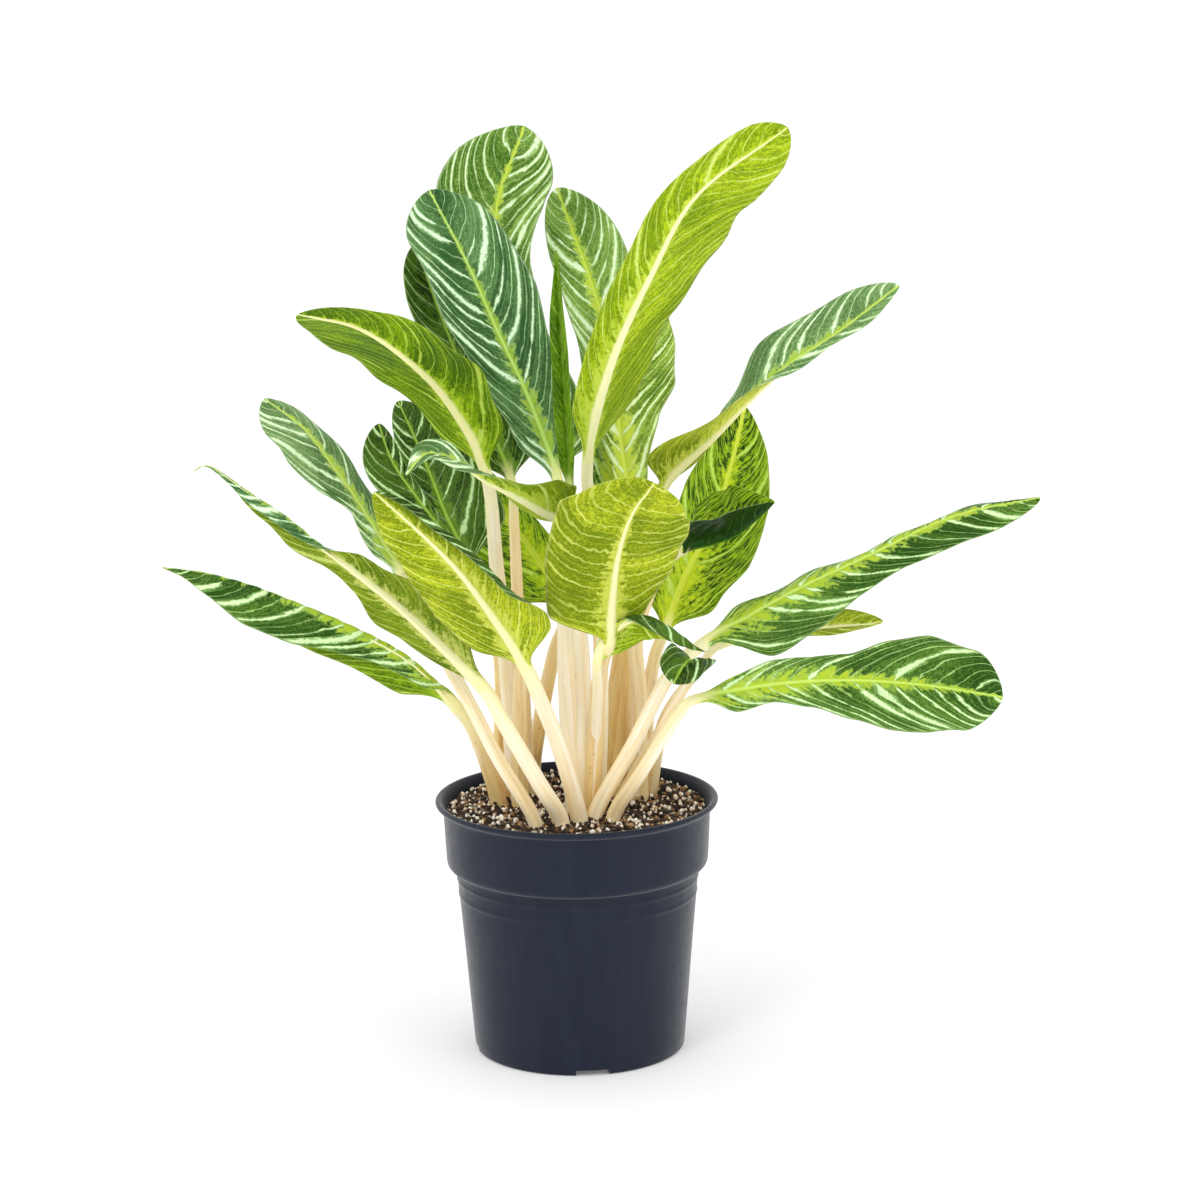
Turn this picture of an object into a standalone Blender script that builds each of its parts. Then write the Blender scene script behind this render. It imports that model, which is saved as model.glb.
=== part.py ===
"""A potted Chinese evergreen (Aglaonema): nursery pot, potting soil and a clump of leaves.

The origin is the middle of the pot's underside, +Z is up and -Y is the side that the plant shows.
Every leaf is one body, its blade grown on from its petiole, and is planted in a socket in the soil.
Sizes in this file are millimetres; the meshes are built in metres.
"""
from math import cos, pi, radians, sin

import bmesh
import bpy
from mathutils import Matrix, Vector

MM = 0.001
CLEARANCE = 0.3            # gap between bodies that touch
SOCKET_CLEARANCE = 0.4     # across the corners of a socket, 0.37 across its flats

# Pot: a thin moulded shell with a straight taper, a wider collar and a rolled rim.
POT_HEIGHT = 155.0
RIM_RADIUS = 85.0
RIM_BEAD = 3.8             # height of the rolled rim
COLLAR_TOP_RADIUS = 80.4
COLLAR_FOOT_RADIUS = 78.3
COLLAR_FOOT_Z = 117.0
BODY_TOP_RADIUS = 72.7
BODY_TOP_Z = 107.0
BASE_RADIUS = 63.4
BASE_ROUND = 1.6
WALL = 1.4
FLOOR = 1.8
POT_SIDES = 56

# Drain slots cut through the corner between floor and wall, a quarter turn apart.
SLOT_COUNT = 4
SLOT_WIDTH = 20.0
SLOT_HEIGHT = 3.6
SLOT_REACH = 11.0          # how far a slot runs in under the floor
CUTTER_EXTRA = 6.0         # how far a cutter stands out of what it cuts
SLOT_TURN = 6.5            # degrees, from the front towards +X

# Soil: fills the pot almost to the rim, level on top and falling away a little towards the wall.
SOIL_EDGE_Z = 149.5
SOIL_CROWN_Z = 152.0
SOIL_CROWN_RADIUS = 73.0
SOCKET_DEPTH_Z = 134.0     # the petioles are planted down to this level
PLANTED_TOP_Z = 155.0      # above this level a petiole is free to lean

# Leaf section.
BLADE_HALF_THICKNESS = 0.35
MIDRIB_TIP_RADIUS = 0.7
TIP_HALF_WIDTH = 0.9
COLLAR_ROUND = 0.2         # the blade widens out up to this share of its length
COLLAR_BLUNTNESS = 0.6     # powers that shape the two rounded ends: the lower, the blunter
TIP_ROUND = 0.7            # and narrows again from this share on
TIP_BLUNTNESS = 0.7
ROUND_SHARE = 0.12         # share of the blade over which the petiole's round section flattens
TOP_RIB = 0.42             # rise of the upper skin over the midrib
BLADE_STATIONS = (0.0, 0.04, 0.11, 0.21, 0.33, 0.45, 0.57, 0.69, 0.80, 0.90, 0.96, 1.0)
PETIOLE_STEP = 34.0        # spacing of the sections along a petiole
PETIOLE_SIDES = 8

# Colours.
POT_GREY = (0.030, 0.036, 0.055)
SOIL_BROWN = (0.045, 0.028, 0.018)
LEAF_GREEN = (0.055, 0.170, 0.060)
LEAF_LIME = (0.260, 0.420, 0.030)

# One entry for each leaf. The lists without coordinates are evenly spaced from collar to tip.
#   foot    where the petiole is planted (x, y)
#   stem    radius of the petiole where it is planted, and at the collar
#   stalk   points that the petiole passes on its way up to the blade
#   blade   points along the midrib, from the collar to the tip
#   widths  across the blade, before its two ends are rounded off
#   folds   rise of the margins above the midrib, as a share of the half width; below 0 they droop
#   faces   directions that the upper side looks to, evenly spaced as well
LEAVES = {
    # Middle clump, packed round the new leaf in its centre.
    "leaf_new_spear": dict(
        foot=(5, -20), stem=(3.2, 2.2),
        stalk=[(4, -22, 205), (1, -31, 261), (-1, -36, 302)],
        blade=[(-1, -39, 347), (-4, -33, 416), (-7, -21, 487)],
        widths=[12, 15, 14, 6], folds=[0.9, 0.9],
        faces=[(-0.3, -1, 0), (-0.5, -1, 0)]),
    "leaf_back_tall": dict(
        foot=(5, -12.6), stem=(3.2, 2.6),
        stalk=[(4, -12, 205), (0, -9, 260), (-6, 6, 314)],
        blade=[(-12, 32, 354), (-35, 80, 428), (-47, 105, 484), (-31, 126, 519), (-16, 132, 544)],
        widths=[50, 62, 78, 86, 72], folds=[0.2, 0.2],
        faces=[(0.2, -0.9, 0.3), (0.1, -1, 0.2)]),
    "leaf_left_tall": dict(
        foot=(-1.4, -16.3), stem=(3.2, 2.8),
        stalk=[(-2, -18, 205), (-4, -27, 261), (-7, -27, 316)],
        blade=[(-9, -21, 358), (-26, 6, 403), (-49, 33, 452), (-72, 51, 498), (-98, 57, 512)],
        widths=[40, 62, 74, 72, 50], folds=[0.2, 0.15],
        faces=[(0.1, -0.9, 0.4), (0.1, -1, 0.3)]),
    "leaf_right_lime": dict(
        foot=(11.4, -16.3), stem=(3.2, 3.0),
        stalk=[(10, -18, 205), (9, -25, 261), (7, -40, 317)],
        blade=[(7, -50, 363), (35, -69, 430), (64, -84, 493), (97, -96, 541), (126, -102, 560)],
        widths=[56, 68, 58, 46, 30], folds=[0.5, 0.3, 0.1],
        faces=[(-0.8, 0.5, 0.4), (-0.65, 0.7, 0.3), (-0.1, 0.9, 0.3)]),
    "leaf_front_arch": dict(
        foot=(-1.4, -23.7), stem=(3.2, 2.4),
        stalk=[(-2, -29, 205), (-4, -48, 263), (-1, -66, 308)],
        blade=[(-3, -75, 332), (-24, -92, 350), (-46, -106, 369), (-68, -122, 386), (-86, -129, 390),
               (-93, -135, 377)],
        widths=[64, 46, 28, 22, 12], folds=[0.2, 0.2],
        faces=[(0.3, 0.8, 0.6), (0.2, 0.0, 1), (-0.4, -0.6, 0.8)]),
    "leaf_front_cup": dict(
        foot=(5, -27.4), stem=(3.2, 3.0),
        stalk=[(6, -39, 206), (12, -68, 254)],
        blade=[(15, -81, 276), (27, -102, 314), (37, -114, 346), (46, -126, 363)],
        widths=[70, 82, 80, 62], folds=[0.3, 0.3],
        faces=[(-0.2, 0.9, 0.3), (-0.1, 0.9, 0.4)]),
    "leaf_front_rolled": dict(
        foot=(11.4, -23.7), stem=(3.2, 2.4),
        stalk=[(16, -29, 205), (21, -37, 242)],
        blade=[(25, -45, 260), (42, -57, 264), (59, -72, 267), (76, -84, 270)],
        widths=[36, 32, 14, 8], folds=[0.5, 0.5],
        faces=[(0.1, 0.9, 0.5), (0.1, 0.9, 0.5)]),

    # Right clump.
    "leaf_right_oval": dict(
        foot=(41, 30), stem=(4.0, 2.8),
        stalk=[(43, 27, 199), (48, 24, 233)],
        blade=[(54, 20, 251), (71, 36, 301), (87, 51, 343), (105, 63, 380)],
        widths=[62, 78, 74, 38], folds=[0.2, 0.2],
        faces=[(0.1, -0.9, 0.3), (0.1, -1, 0.3)]),
    "leaf_right_twist": dict(
        foot=(28, 16), stem=(3.6, 2.8),
        stalk=[(32, 16, 208), (40, 6, 264), (48, -6, 310)],
        blade=[(53, -9, 342), (80, -24, 367), (112, -24, 403), (147, -16, 436), (193, -9, 464)],
        widths=[50, 56, 46, 34, 20], folds=[0.3, 0.3],
        faces=[(-0.5, 0.7, 0.5), (-0.6, 0.2, 0.8), (-0.5, -0.7, 0.5), (-0.4, -0.9, 0.3)]),
    "leaf_right_folded": dict(
        foot=(34, 5), stem=(3.4, 2.2),
        stalk=[(42, 0, 214), (54, -12, 275)],
        blade=[(62, -24, 313), (89, -39, 329), (117, -54, 346)],
        widths=[34, 38, 20], folds=[0.9, 0.9],
        faces=[(0, -0.5, 0.9), (-0.2, -0.5, 0.9)]),
    "leaf_back_right": dict(
        foot=(22, 31), stem=(3.6, 2.8),
        stalk=[(28, 36, 206), (38, 51, 281)],
        blade=[(39, 58, 333), (25, 81, 382), (28, 99, 425), (46, 120, 462)],
        widths=[56, 76, 72, 50], folds=[0.2, 0.2],
        faces=[(0.1, -0.9, 0.4), (0.2, -0.9, 0.3)]),
    "leaf_back_center": dict(
        foot=(16, 50), stem=(3.6, 2.8),
        stalk=[(15, 54, 201), (19, 75, 279)],
        blade=[(20, 81, 326), (19, 104, 385), (14, 138, 442), (-9, 174, 505)],
        widths=[50, 72, 74, 46], folds=[0.2, 0.2],
        faces=[(0, -0.9, 0.4), (0, -0.9, 0.4)]),
    "leaf_right_hidden": dict(
        foot=(45, 19), stem=(3.4, 2.2),
        stalk=[(54, 10, 200), (75, 7, 231)],
        blade=[(88, 8, 245), (136, 18, 254), (184, 24, 258)],
        widths=[26, 32, 34, 34], folds=[0.2, 0.2],
        faces=[(0.1, 0.7, 0.6), (0.1, 0.7, 0.6)]),

    # Low leaves of the front and the right, whose petioles lean out of the soil.
    "leaf_right_long": dict(
        foot=(11, -38), stem=(4.6, 3.2),
        stalk=[(32, -44, 195), (55, -44, 239)],
        blade=[(76, -39, 257), (121, -27, 277), (172, -12, 300), (223, 0, 323), (278, 9, 333)],
        widths=[46, 60, 48, 36, 31, 22], folds=[-0.4, -0.5],
        faces=[(0, -0.5, 0.9), (-0.2, -0.4, 0.9)]),
    "leaf_right_low": dict(
        foot=(22, -42), stem=(4.4, 2.6),
        stalk=[(38, -56, 184), (50, -61, 205), (61, -67, 223)],
        blade=[(72, -70, 230), (118, -78, 240), (165, -79, 243), (210, -77, 237), (247, -76, 233)],
        widths=[24, 34, 31, 44, 60, 64, 46], folds=[0.1, 0.1],
        faces=[(0, -0.8, 0.6), (0, -0.85, 0.5)]),
    "leaf_right_crumpled": dict(
        foot=(24, -28), stem=(3.4, 2.0),
        stalk=[(50, -38, 204), (64, -54, 235)],
        blade=[(68, -68, 247), (66, -84, 255), (60, -95, 250), (54, -99, 240)],
        widths=[26, 34, 30, 16], folds=[0.4, 0.4],
        faces=[(0.2, 0.3, 0.9), (0, -0.6, 0.8), (-0.2, -0.9, 0.2)]),
    "leaf_left_front": dict(
        foot=(1, -42), stem=(4.2, 3.2),
        stalk=[(-9, -58, 198), (-19, -74, 230)],
        blade=[(-28, -90, 256), (-49, -106, 291), (-71, -122, 322), (-91, -129, 346), (-110, -136, 369)],
        widths=[56, 58, 48, 36, 20], folds=[0.2, 0.5],
        faces=[(0.1, 0.9, 0.2), (-0.6, 0.7, 0), (-0.6, 0.7, 0)]),
    "leaf_left_curled": dict(
        foot=(-10, -49), stem=(4.8, 3.4),
        stalk=[(-21, -60, 178), (-42, -68, 219)],
        blade=[(-55, -70, 239), (-107, -84, 290), (-147, -92, 324), (-184, -92, 351), (-206, -87, 372),
               (-216, -84, 370)],
        widths=[44, 54, 36, 24, 12], folds=[0.2, 0.4],
        faces=[(0.1, 0.9, 0.2), (0.2, 0.9, 0.4), (0.3, 0.6, 0.7), (0.2, 0.3, 1)]),
    "leaf_left_upper": dict(
        foot=(-25, -50), stem=(4.6, 3.0),
        stalk=[(-45, -50, 191), (-62, -45, 225), (-85, -24, 264)],
        blade=[(-113, 6, 305), (-134, 21, 340), (-155, 36, 368), (-186, 51, 390)],
        widths=[20, 26, 38, 50, 48, 34], folds=[-0.1, -0.1],
        faces=[(0.6, -0.5, 0.6), (0.6, -0.5, 0.6)]),
    "leaf_left_low": dict(
        foot=(-47, 2), stem=(4.6, 3.2),
        stalk=[(-60, -15, 199)],
        blade=[(-76, -29, 230), (-112, -39, 237), (-150, -50, 253), (-197, -51, 286), (-242, -42, 309)],
        widths=[36, 56, 54, 36, 16], folds=[0.5, 0.5, 0.3],
        faces=[(0, -0.1, 1), (0, -0.1, 1), (0, -0.6, 0.8)]),

    # Left clump.
    "leaf_left_lime": dict(
        foot=(-37, 8), stem=(4.4, 3.0),
        stalk=[(-41, 2, 243), (-45, -18, 299)],
        blade=[(-51, -39, 366), (-68, -54, 394), (-96, -84, 433), (-125, -106, 458), (-149, -126, 469)],
        widths=[46, 64, 58, 36], folds=[0.15, 0.15],
        faces=[(0.3, 0.8, 0.5), (0.3, 0.7, 0.6)]),
    "leaf_left_inner": dict(
        foot=(-34, -6), stem=(4.0, 2.6),
        stalk=[(-32, -30, 236)],
        blade=[(-27, -48, 275), (-57, -51, 295), (-87, -45, 322), (-106, -36, 356), (-117, -27, 388)],
        widths=[28, 32, 38, 40, 32], folds=[0.2, 0.2],
        faces=[(0.5, -0.8, 0.3), (0.3, -0.9, 0.3)]),
    "leaf_left_dark": dict(
        foot=(-46, 20), stem=(4.2, 2.8),
        stalk=[(-44, 24, 235)],
        blade=[(-57, 36, 275), (-73, 51, 309), (-89, 74, 342), (-110, 96, 377)],
        widths=[56, 74, 70, 40], folds=[0.2, 0.2],
        faces=[(0.2, -0.9, 0.3), (0.2, -0.9, 0.3)]),
    "leaf_left_back": dict(
        foot=(-30, 22), stem=(4.0, 2.6),
        stalk=[(-33, 27, 237), (-34, 18, 285), (-35, 14, 323)],
        blade=[(-36, 12, 345), (-52, 26, 379), (-74, 52, 430), (-94, 75, 478)],
        widths=[50, 60, 60, 44], folds=[0.2, 0.2],
        faces=[(0.2, -0.9, 0.3), (0.2, -0.9, 0.3)]),
    "leaf_back_left": dict(
        foot=(-27, 60), stem=(4.2, 2.8),
        stalk=[(-24, 52, 178), (-12, 64, 235)],
        blade=[(-8, 74, 272), (-31, 104, 296), (-58, 134, 318), (-83, 164, 339)],
        widths=[50, 70, 66, 40], folds=[0.2, 0.2],
        faces=[(0.2, -0.9, 0.4), (0.2, -0.9, 0.4)]),
}


def clear_scene():
    for item in list(bpy.data.objects):
        bpy.data.objects.remove(item, do_unlink=True)


def material(name, colour, roughness):
    made = bpy.data.materials.new(name)
    made.use_nodes = True
    shader = made.node_tree.nodes["Principled BSDF"]
    shader.inputs["Base Color"].default_value = (*colour, 1.0)
    shader.inputs["Roughness"].default_value = roughness
    return made


def add_object(name, bm, look):
    """Turn a bmesh in millimetres into a named object in metres."""
    bmesh.ops.scale(bm, vec=(MM, MM, MM), verts=bm.verts)
    bmesh.ops.recalc_face_normals(bm, faces=bm.faces)
    mesh = bpy.data.meshes.new(name)
    bm.to_mesh(mesh)
    bm.free()
    mesh.shade_smooth()
    mesh.set_sharp_from_angle(angle=radians(40))
    mesh.materials.append(look)
    made = bpy.data.objects.new(name, mesh)
    bpy.context.scene.collection.objects.link(made)
    return made


def hide_cutter(cutter):
    cutter.hide_render = True
    cutter.display_type = "WIRE"


def cut(target, cutter):
    step = target.modifiers.new("cut", "BOOLEAN")
    step.operation = "DIFFERENCE"
    step.object = cutter
    hide_cutter(cutter)


# ---------------------------------------------------------------- pot and soil

def wall_radius(z):
    """Outer radius of the pot's wall at a height."""
    if z <= BODY_TOP_Z:
        return BASE_RADIUS + (BODY_TOP_RADIUS - BASE_RADIUS) * z / BODY_TOP_Z
    if z <= COLLAR_FOOT_Z:
        share = (z - BODY_TOP_Z) / (COLLAR_FOOT_Z - BODY_TOP_Z)
        return BODY_TOP_RADIUS + (COLLAR_FOOT_RADIUS - BODY_TOP_RADIUS) * share
    share = (z - COLLAR_FOOT_Z) / (POT_HEIGHT - COLLAR_FOOT_Z)
    return COLLAR_FOOT_RADIUS + (COLLAR_TOP_RADIUS - COLLAR_FOOT_RADIUS) * share


def revolve(profile, sides):
    """Closed solid from an outline of (radius, z), with flat faces across its two ends."""
    bm = bmesh.new()
    turns = [2 * pi * (i + 0.5) / sides for i in range(sides)]
    rings = [[bm.verts.new((radius * cos(a), radius * sin(a), z)) for a in turns] for radius, z in profile]
    for low, high in zip(rings, rings[1:]):
        for i in range(sides):
            j = (i + 1) % sides
            bm.faces.new((low[i], low[j], high[j], high[i]))
    bm.faces.new(list(reversed(rings[0])))
    bm.faces.new(rings[-1])
    return bm


def make_pot(look):
    bead_middle = POT_HEIGHT - RIM_BEAD / 2
    bead_inner = RIM_RADIUS - RIM_BEAD / 2
    bead = [(bead_inner + RIM_BEAD / 2 * cos(a), bead_middle + RIM_BEAD / 2 * sin(a))
            for a in (radians(d) for d in (-90, -45, 0, 45, 90))]
    bevel_middle = BASE_ROUND * (1 - cos(pi / 4))
    outside = [(BASE_RADIUS - BASE_ROUND, 0), (BASE_RADIUS - bevel_middle, bevel_middle)]
    outside += [(wall_radius(z), z) for z in (BASE_ROUND, BODY_TOP_Z, COLLAR_FOOT_Z, POT_HEIGHT - RIM_BEAD)]
    inside = [(wall_radius(z) - WALL, z) for z in (POT_HEIGHT, COLLAR_FOOT_Z, BODY_TOP_Z, FLOOR)]
    pot = add_object("pot", revolve(outside + bead + inside, POT_SIDES), look)

    slots = bmesh.new()
    for turn in range(SLOT_COUNT):
        made = bmesh.ops.create_cube(slots, size=1.0)["verts"]
        length = SLOT_REACH + CUTTER_EXTRA
        bmesh.ops.scale(slots, verts=made, vec=(SLOT_WIDTH, length, 2 * SLOT_HEIGHT))
        bmesh.ops.translate(slots, verts=made, vec=(0, length / 2 - BASE_RADIUS - CUTTER_EXTRA, 0))
        spin = Matrix.Rotation(radians(SLOT_TURN + turn * 360 / SLOT_COUNT), 3, "Z")
        bmesh.ops.rotate(slots, verts=made, cent=(0, 0, 0), matrix=spin)
    cut(pot, add_object("pot_slot_cutter", slots, look))


def make_soil(look):
    gap = WALL + CLEARANCE
    floor_z = FLOOR + CLEARANCE
    side = [(wall_radius(z) - gap, z) for z in (floor_z, BODY_TOP_Z, COLLAR_FOOT_Z, SOIL_EDGE_Z)]
    soil = add_object("soil", revolve(side + [(SOIL_CROWN_RADIUS, SOIL_CROWN_Z)], POT_SIDES), look)

    sockets = bmesh.new()
    for leaf in LEAVES.values():
        radius = leaf["stem"][0] + SOCKET_CLEARANCE
        heights = (SOCKET_DEPTH_Z, SOIL_CROWN_Z + CUTTER_EXTRA)
        skin_rings(sockets, [planted_ring(sockets, leaf, radius, z) for z in heights])
    cut(soil, add_object("soil_socket_cutter", sockets, look))


# ---------------------------------------------------------------- leaves

def round_ring(bm, centre, across, up, radius):
    turns = [2 * pi * i / PETIOLE_SIDES for i in range(PETIOLE_SIDES)]
    return [bm.verts.new(centre + radius * (across * cos(a) + up * sin(a))) for a in turns]


def foot_facing(leaf):
    """Level direction that a petiole's upper side looks to where it is planted."""
    first = leaf["faces"][0]
    return Vector((first[0], first[1], 0)).normalized()


def planted_ring(bm, leaf, radius, z):
    facing = foot_facing(leaf)
    across = Vector((0, 0, 1)).cross(facing)
    return round_ring(bm, Vector((*leaf["foot"], z)), across, facing, radius)


def skin_rings(bm, rings):
    """Join rings of vertices into one closed tube with capped ends."""
    count = len(rings[0])
    for low, high in zip(rings, rings[1:]):
        for i in range(count):
            j = (i + 1) % count
            if i % 4 < 2:       # the diagonals run outwards on both skins, so the skins stay parallel
                bm.faces.new((low[i], low[j], high[i]))
                bm.faces.new((low[j], high[j], high[i]))
            else:
                bm.faces.new((low[i], low[j], high[j]))
                bm.faces.new((low[i], high[j], high[i]))
    bm.faces.new(list(reversed(rings[0])))
    bm.faces.new(rings[-1])


class Path:
    """Smooth curve through a list of points, measured by its length."""

    def __init__(self, points, steps=24):
        points = [Vector(p) for p in points]
        ends = [2 * points[0] - points[1]] + points + [2 * points[-1] - points[-2]]
        self.samples = [points[0]]
        self.knots = [0]
        for p0, p1, p2, p3 in zip(ends, ends[1:], ends[2:], ends[3:]):
            for step in range(1, steps + 1):
                t = step / steps
                self.samples.append(0.5 * (2 * p1 + (p2 - p0) * t + (2 * p0 - 5 * p1 + 4 * p2 - p3) * t * t
                                           + (3 * p1 - p0 - 3 * p2 + p3) * t ** 3))
            self.knots.append(len(self.samples) - 1)
        self.lengths = [0.0]
        for a, b in zip(self.samples, self.samples[1:]):
            self.lengths.append(self.lengths[-1] + (b - a).length)

    def at_knot(self, index):
        return self.lengths[self.knots[index]]

    def place(self, distance):
        for i, far in enumerate(self.lengths[1:]):
            if distance <= far:
                share = (distance - self.lengths[i]) / (far - self.lengths[i])
                return self.samples[i].lerp(self.samples[i + 1], share)
        return self.samples[-1]

    def heading(self, distance):
        reach = 2.0
        return (self.place(distance + reach) - self.place(max(distance - reach, 0.0))).normalized()


def between(values, share):
    """Value at a share of the way along an evenly spaced list."""
    spot = min(max(share, 0.0), 1.0) * (len(values) - 1)
    index = min(int(spot), len(values) - 2)
    return values[index] + (values[index + 1] - values[index]) * (spot - index)


def half_width(leaf, share):
    """Outline of the blade: rounded at the collar and at the tip."""
    to_collar = max(1 - share / COLLAR_ROUND, 0.0)
    to_tip = max((share - TIP_ROUND) / (1 - TIP_ROUND), 0.0)
    rounding = (1 - to_collar ** 2) ** COLLAR_BLUNTNESS * (1 - to_tip ** 2) ** TIP_BLUNTNESS
    return TIP_HALF_WIDTH + (between(leaf["widths"], share) / 2 - TIP_HALF_WIDTH) * rounding


def leaf_ring(bm, centre, heading, face, leaf, share):
    """One section: two margins, and upper and lower skins that meet there."""
    across = heading.cross(face).normalized()
    up = across.cross(heading).normalized()
    stem = leaf["stem"][1]
    flat = min(share / ROUND_SHARE, 1.0)
    half = max(half_width(leaf, share), stem * (1 - flat))
    rib = stem * (1 - share) + MIDRIB_TIP_RADIUS * share
    corner = stem * cos(pi / 4)
    middle = corner * (1 - flat) + half / 2 * flat
    skin = corner * (1 - flat) + BLADE_HALF_THICKNESS * flat
    top = rib * (1 - flat) + TOP_RIB * flat

    def spot(x, lift):
        rise = abs(x) * between(leaf["folds"], share) * flat
        return bm.verts.new(centre + across * x + up * (rise + lift))

    return [spot(half, 0), spot(middle, skin), spot(0, top), spot(-middle, skin),
            spot(-half, 0), spot(-middle, -skin), spot(0, -rib), spot(middle, -skin)]


def make_leaf(name, leaf, look):
    path = Path([(*leaf["foot"], PLANTED_TOP_Z)] + leaf["stalk"] + leaf["blade"])
    collar = path.at_knot(len(leaf["stalk"]) + 1)
    length = path.lengths[-1] - collar
    faces = [Vector(f).normalized() for f in leaf["faces"]]
    stem_foot, stem_collar = leaf["stem"]

    bm = bmesh.new()
    rings = [planted_ring(bm, leaf, stem_foot, z) for z in (SOCKET_DEPTH_Z + CLEARANCE, PLANTED_TOP_Z)]
    sections = max(2, round(collar / PETIOLE_STEP))
    for step in range(1, sections):
        share = step / sections
        heading = path.heading(collar * share)
        face = foot_facing(leaf).lerp(faces[0], share)
        across = heading.cross(face).normalized()
        up = across.cross(heading)
        radius = stem_foot + (stem_collar - stem_foot) * share
        rings.append(round_ring(bm, path.place(collar * share), across, up, radius))
    for share in BLADE_STATIONS:
        distance = collar + length * share
        heading = path.heading(distance)
        rings.append(leaf_ring(bm, path.place(distance), heading, between(faces, share), leaf, share))
    skin_rings(bm, rings)
    add_object(name, bm, look)


def main():
    clear_scene()
    pot_plastic = material("pot_plastic", POT_GREY, 0.45)
    potting_soil = material("potting_soil", SOIL_BROWN, 0.95)
    make_pot(pot_plastic)
    make_soil(potting_soil)
    for name, leaf in LEAVES.items():
        shows_underside = leaf["faces"][0][1] > 0
        look = material(name, LEAF_LIME if shows_underside else LEAF_GREEN, 0.4)
        make_leaf(name, leaf, look)


main()
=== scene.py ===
# %% [markdown]
# # A potted Chinese evergreen
# The plant is a clump of long variegated leaves, each on its own pale stalk, in a plastic nursery
# pot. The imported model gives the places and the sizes. This script dresses it: every leaf gets a
# finely modelled blade, the pot its rolled rim and rings, and the soil its white grains.
# Sizes are millimetres in the tables and metres in the meshes.

# %% Load the fixed frame
from math import atan, cos, exp, pi, radians, sin, sqrt
from random import Random

import bmesh
import bpy
from mathutils import Matrix, Vector, noise


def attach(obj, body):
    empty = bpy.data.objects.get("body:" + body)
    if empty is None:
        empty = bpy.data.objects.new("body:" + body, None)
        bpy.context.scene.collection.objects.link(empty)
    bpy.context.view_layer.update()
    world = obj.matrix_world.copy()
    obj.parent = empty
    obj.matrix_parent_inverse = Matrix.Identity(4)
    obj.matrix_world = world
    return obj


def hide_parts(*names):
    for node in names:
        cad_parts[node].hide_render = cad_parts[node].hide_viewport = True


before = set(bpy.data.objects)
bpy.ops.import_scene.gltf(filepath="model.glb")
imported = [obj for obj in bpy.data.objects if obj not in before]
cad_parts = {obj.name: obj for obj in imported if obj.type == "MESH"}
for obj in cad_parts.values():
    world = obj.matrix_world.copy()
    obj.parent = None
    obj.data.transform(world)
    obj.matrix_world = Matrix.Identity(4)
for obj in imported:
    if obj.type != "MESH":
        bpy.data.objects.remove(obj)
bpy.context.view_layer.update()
MM = 0.001
print(len(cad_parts), "nodes in the frame")

# %% [markdown]
# ## Building node trees with short calls
# A material's nodes can be placed by hand in the editor. In a script that gets long, so this small
# class adds a node, fills its inputs with numbers or links, and returns the output socket. A
# pattern then reads almost like a formula. A colour is a link or three numbers.

# %% A helper for node trees
class Graph:
    def __init__(self, tree):
        self.tree = tree

    def link(self, output, socket):
        self.tree.links.new(output, socket)

    def node(self, kind, inputs, **settings):
        made = self.tree.nodes.new(kind)
        for key, value in settings.items():
            setattr(made, key, value)
        for key, value in inputs.items():
            if isinstance(value, bpy.types.NodeSocket):
                self.link(value, made.inputs[key])
            else:
                made.inputs[key].default_value = value
        return made

    def math(self, operation, *values):
        return self.node("ShaderNodeMath", dict(enumerate(values)), operation=operation).outputs[0]

    def times(self, first, second):
        return self.math("MULTIPLY", first, second)

    def plus(self, first, second):
        return self.math("ADD", first, second)

    def minus(self, first, second):
        return self.math("SUBTRACT", first, second)

    def times_plus(self, value, factor, extra):
        return self.math("MULTIPLY_ADD", value, factor, extra)

    def vector(self, x, y, z):
        return self.node("ShaderNodeCombineXYZ", {0: x, 1: y, 2: z}).outputs[0]

    def split(self, vector):
        return self.node("ShaderNodeSeparateXYZ", {0: vector}).outputs

    def attribute(self, name):
        made = self.node("ShaderNodeAttribute", {}, attribute_name=name)
        return self.split(made.outputs["Vector"])

    def object_place(self):
        return self.node("ShaderNodeTexCoord", {}).outputs["Object"]

    def noise(self, vector, scale=1.0, detail=2.0, roughness=0.5):
        inputs = {"Vector": vector, "Scale": scale, "Detail": detail, "Roughness": roughness}
        return self.node("ShaderNodeTexNoise", inputs).outputs["Fac"]

    def step(self, value, low, high):
        """0 below low, 1 above high, and a smooth rise between."""
        inputs = {"Value": value, "From Min": low, "From Max": high}
        return self.node("ShaderNodeMapRange", inputs, interpolation_type="SMOOTHSTEP").outputs[0]

    def mix(self, share, first, second):
        first, second = [(*paint, 1.0) if isinstance(paint, tuple) else paint for paint in (first, second)]
        return self.node("ShaderNodeMix", {0: share, 6: first, 7: second}, data_type="RGBA").outputs[2]

    def bump(self, height, strength, distance):
        inputs = {"Height": height, "Strength": strength, "Distance": distance}
        return self.node("ShaderNodeBump", inputs).outputs[0]


def new_group(name, inputs, outputs):
    """An empty shader node group with named float inputs and outputs."""
    tree = bpy.data.node_groups.new(name, "ShaderNodeTree")
    for label, value in inputs.items():
        socket = tree.interface.new_socket(label, in_out="INPUT", socket_type="NodeSocketFloat")
        socket.default_value = value
    for label in outputs:
        tree.interface.new_socket(label, in_out="OUTPUT", socket_type="NodeSocketFloat")
    return tree, tree.nodes.new("NodeGroupInput").outputs, tree.nodes.new("NodeGroupOutput").inputs


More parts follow.
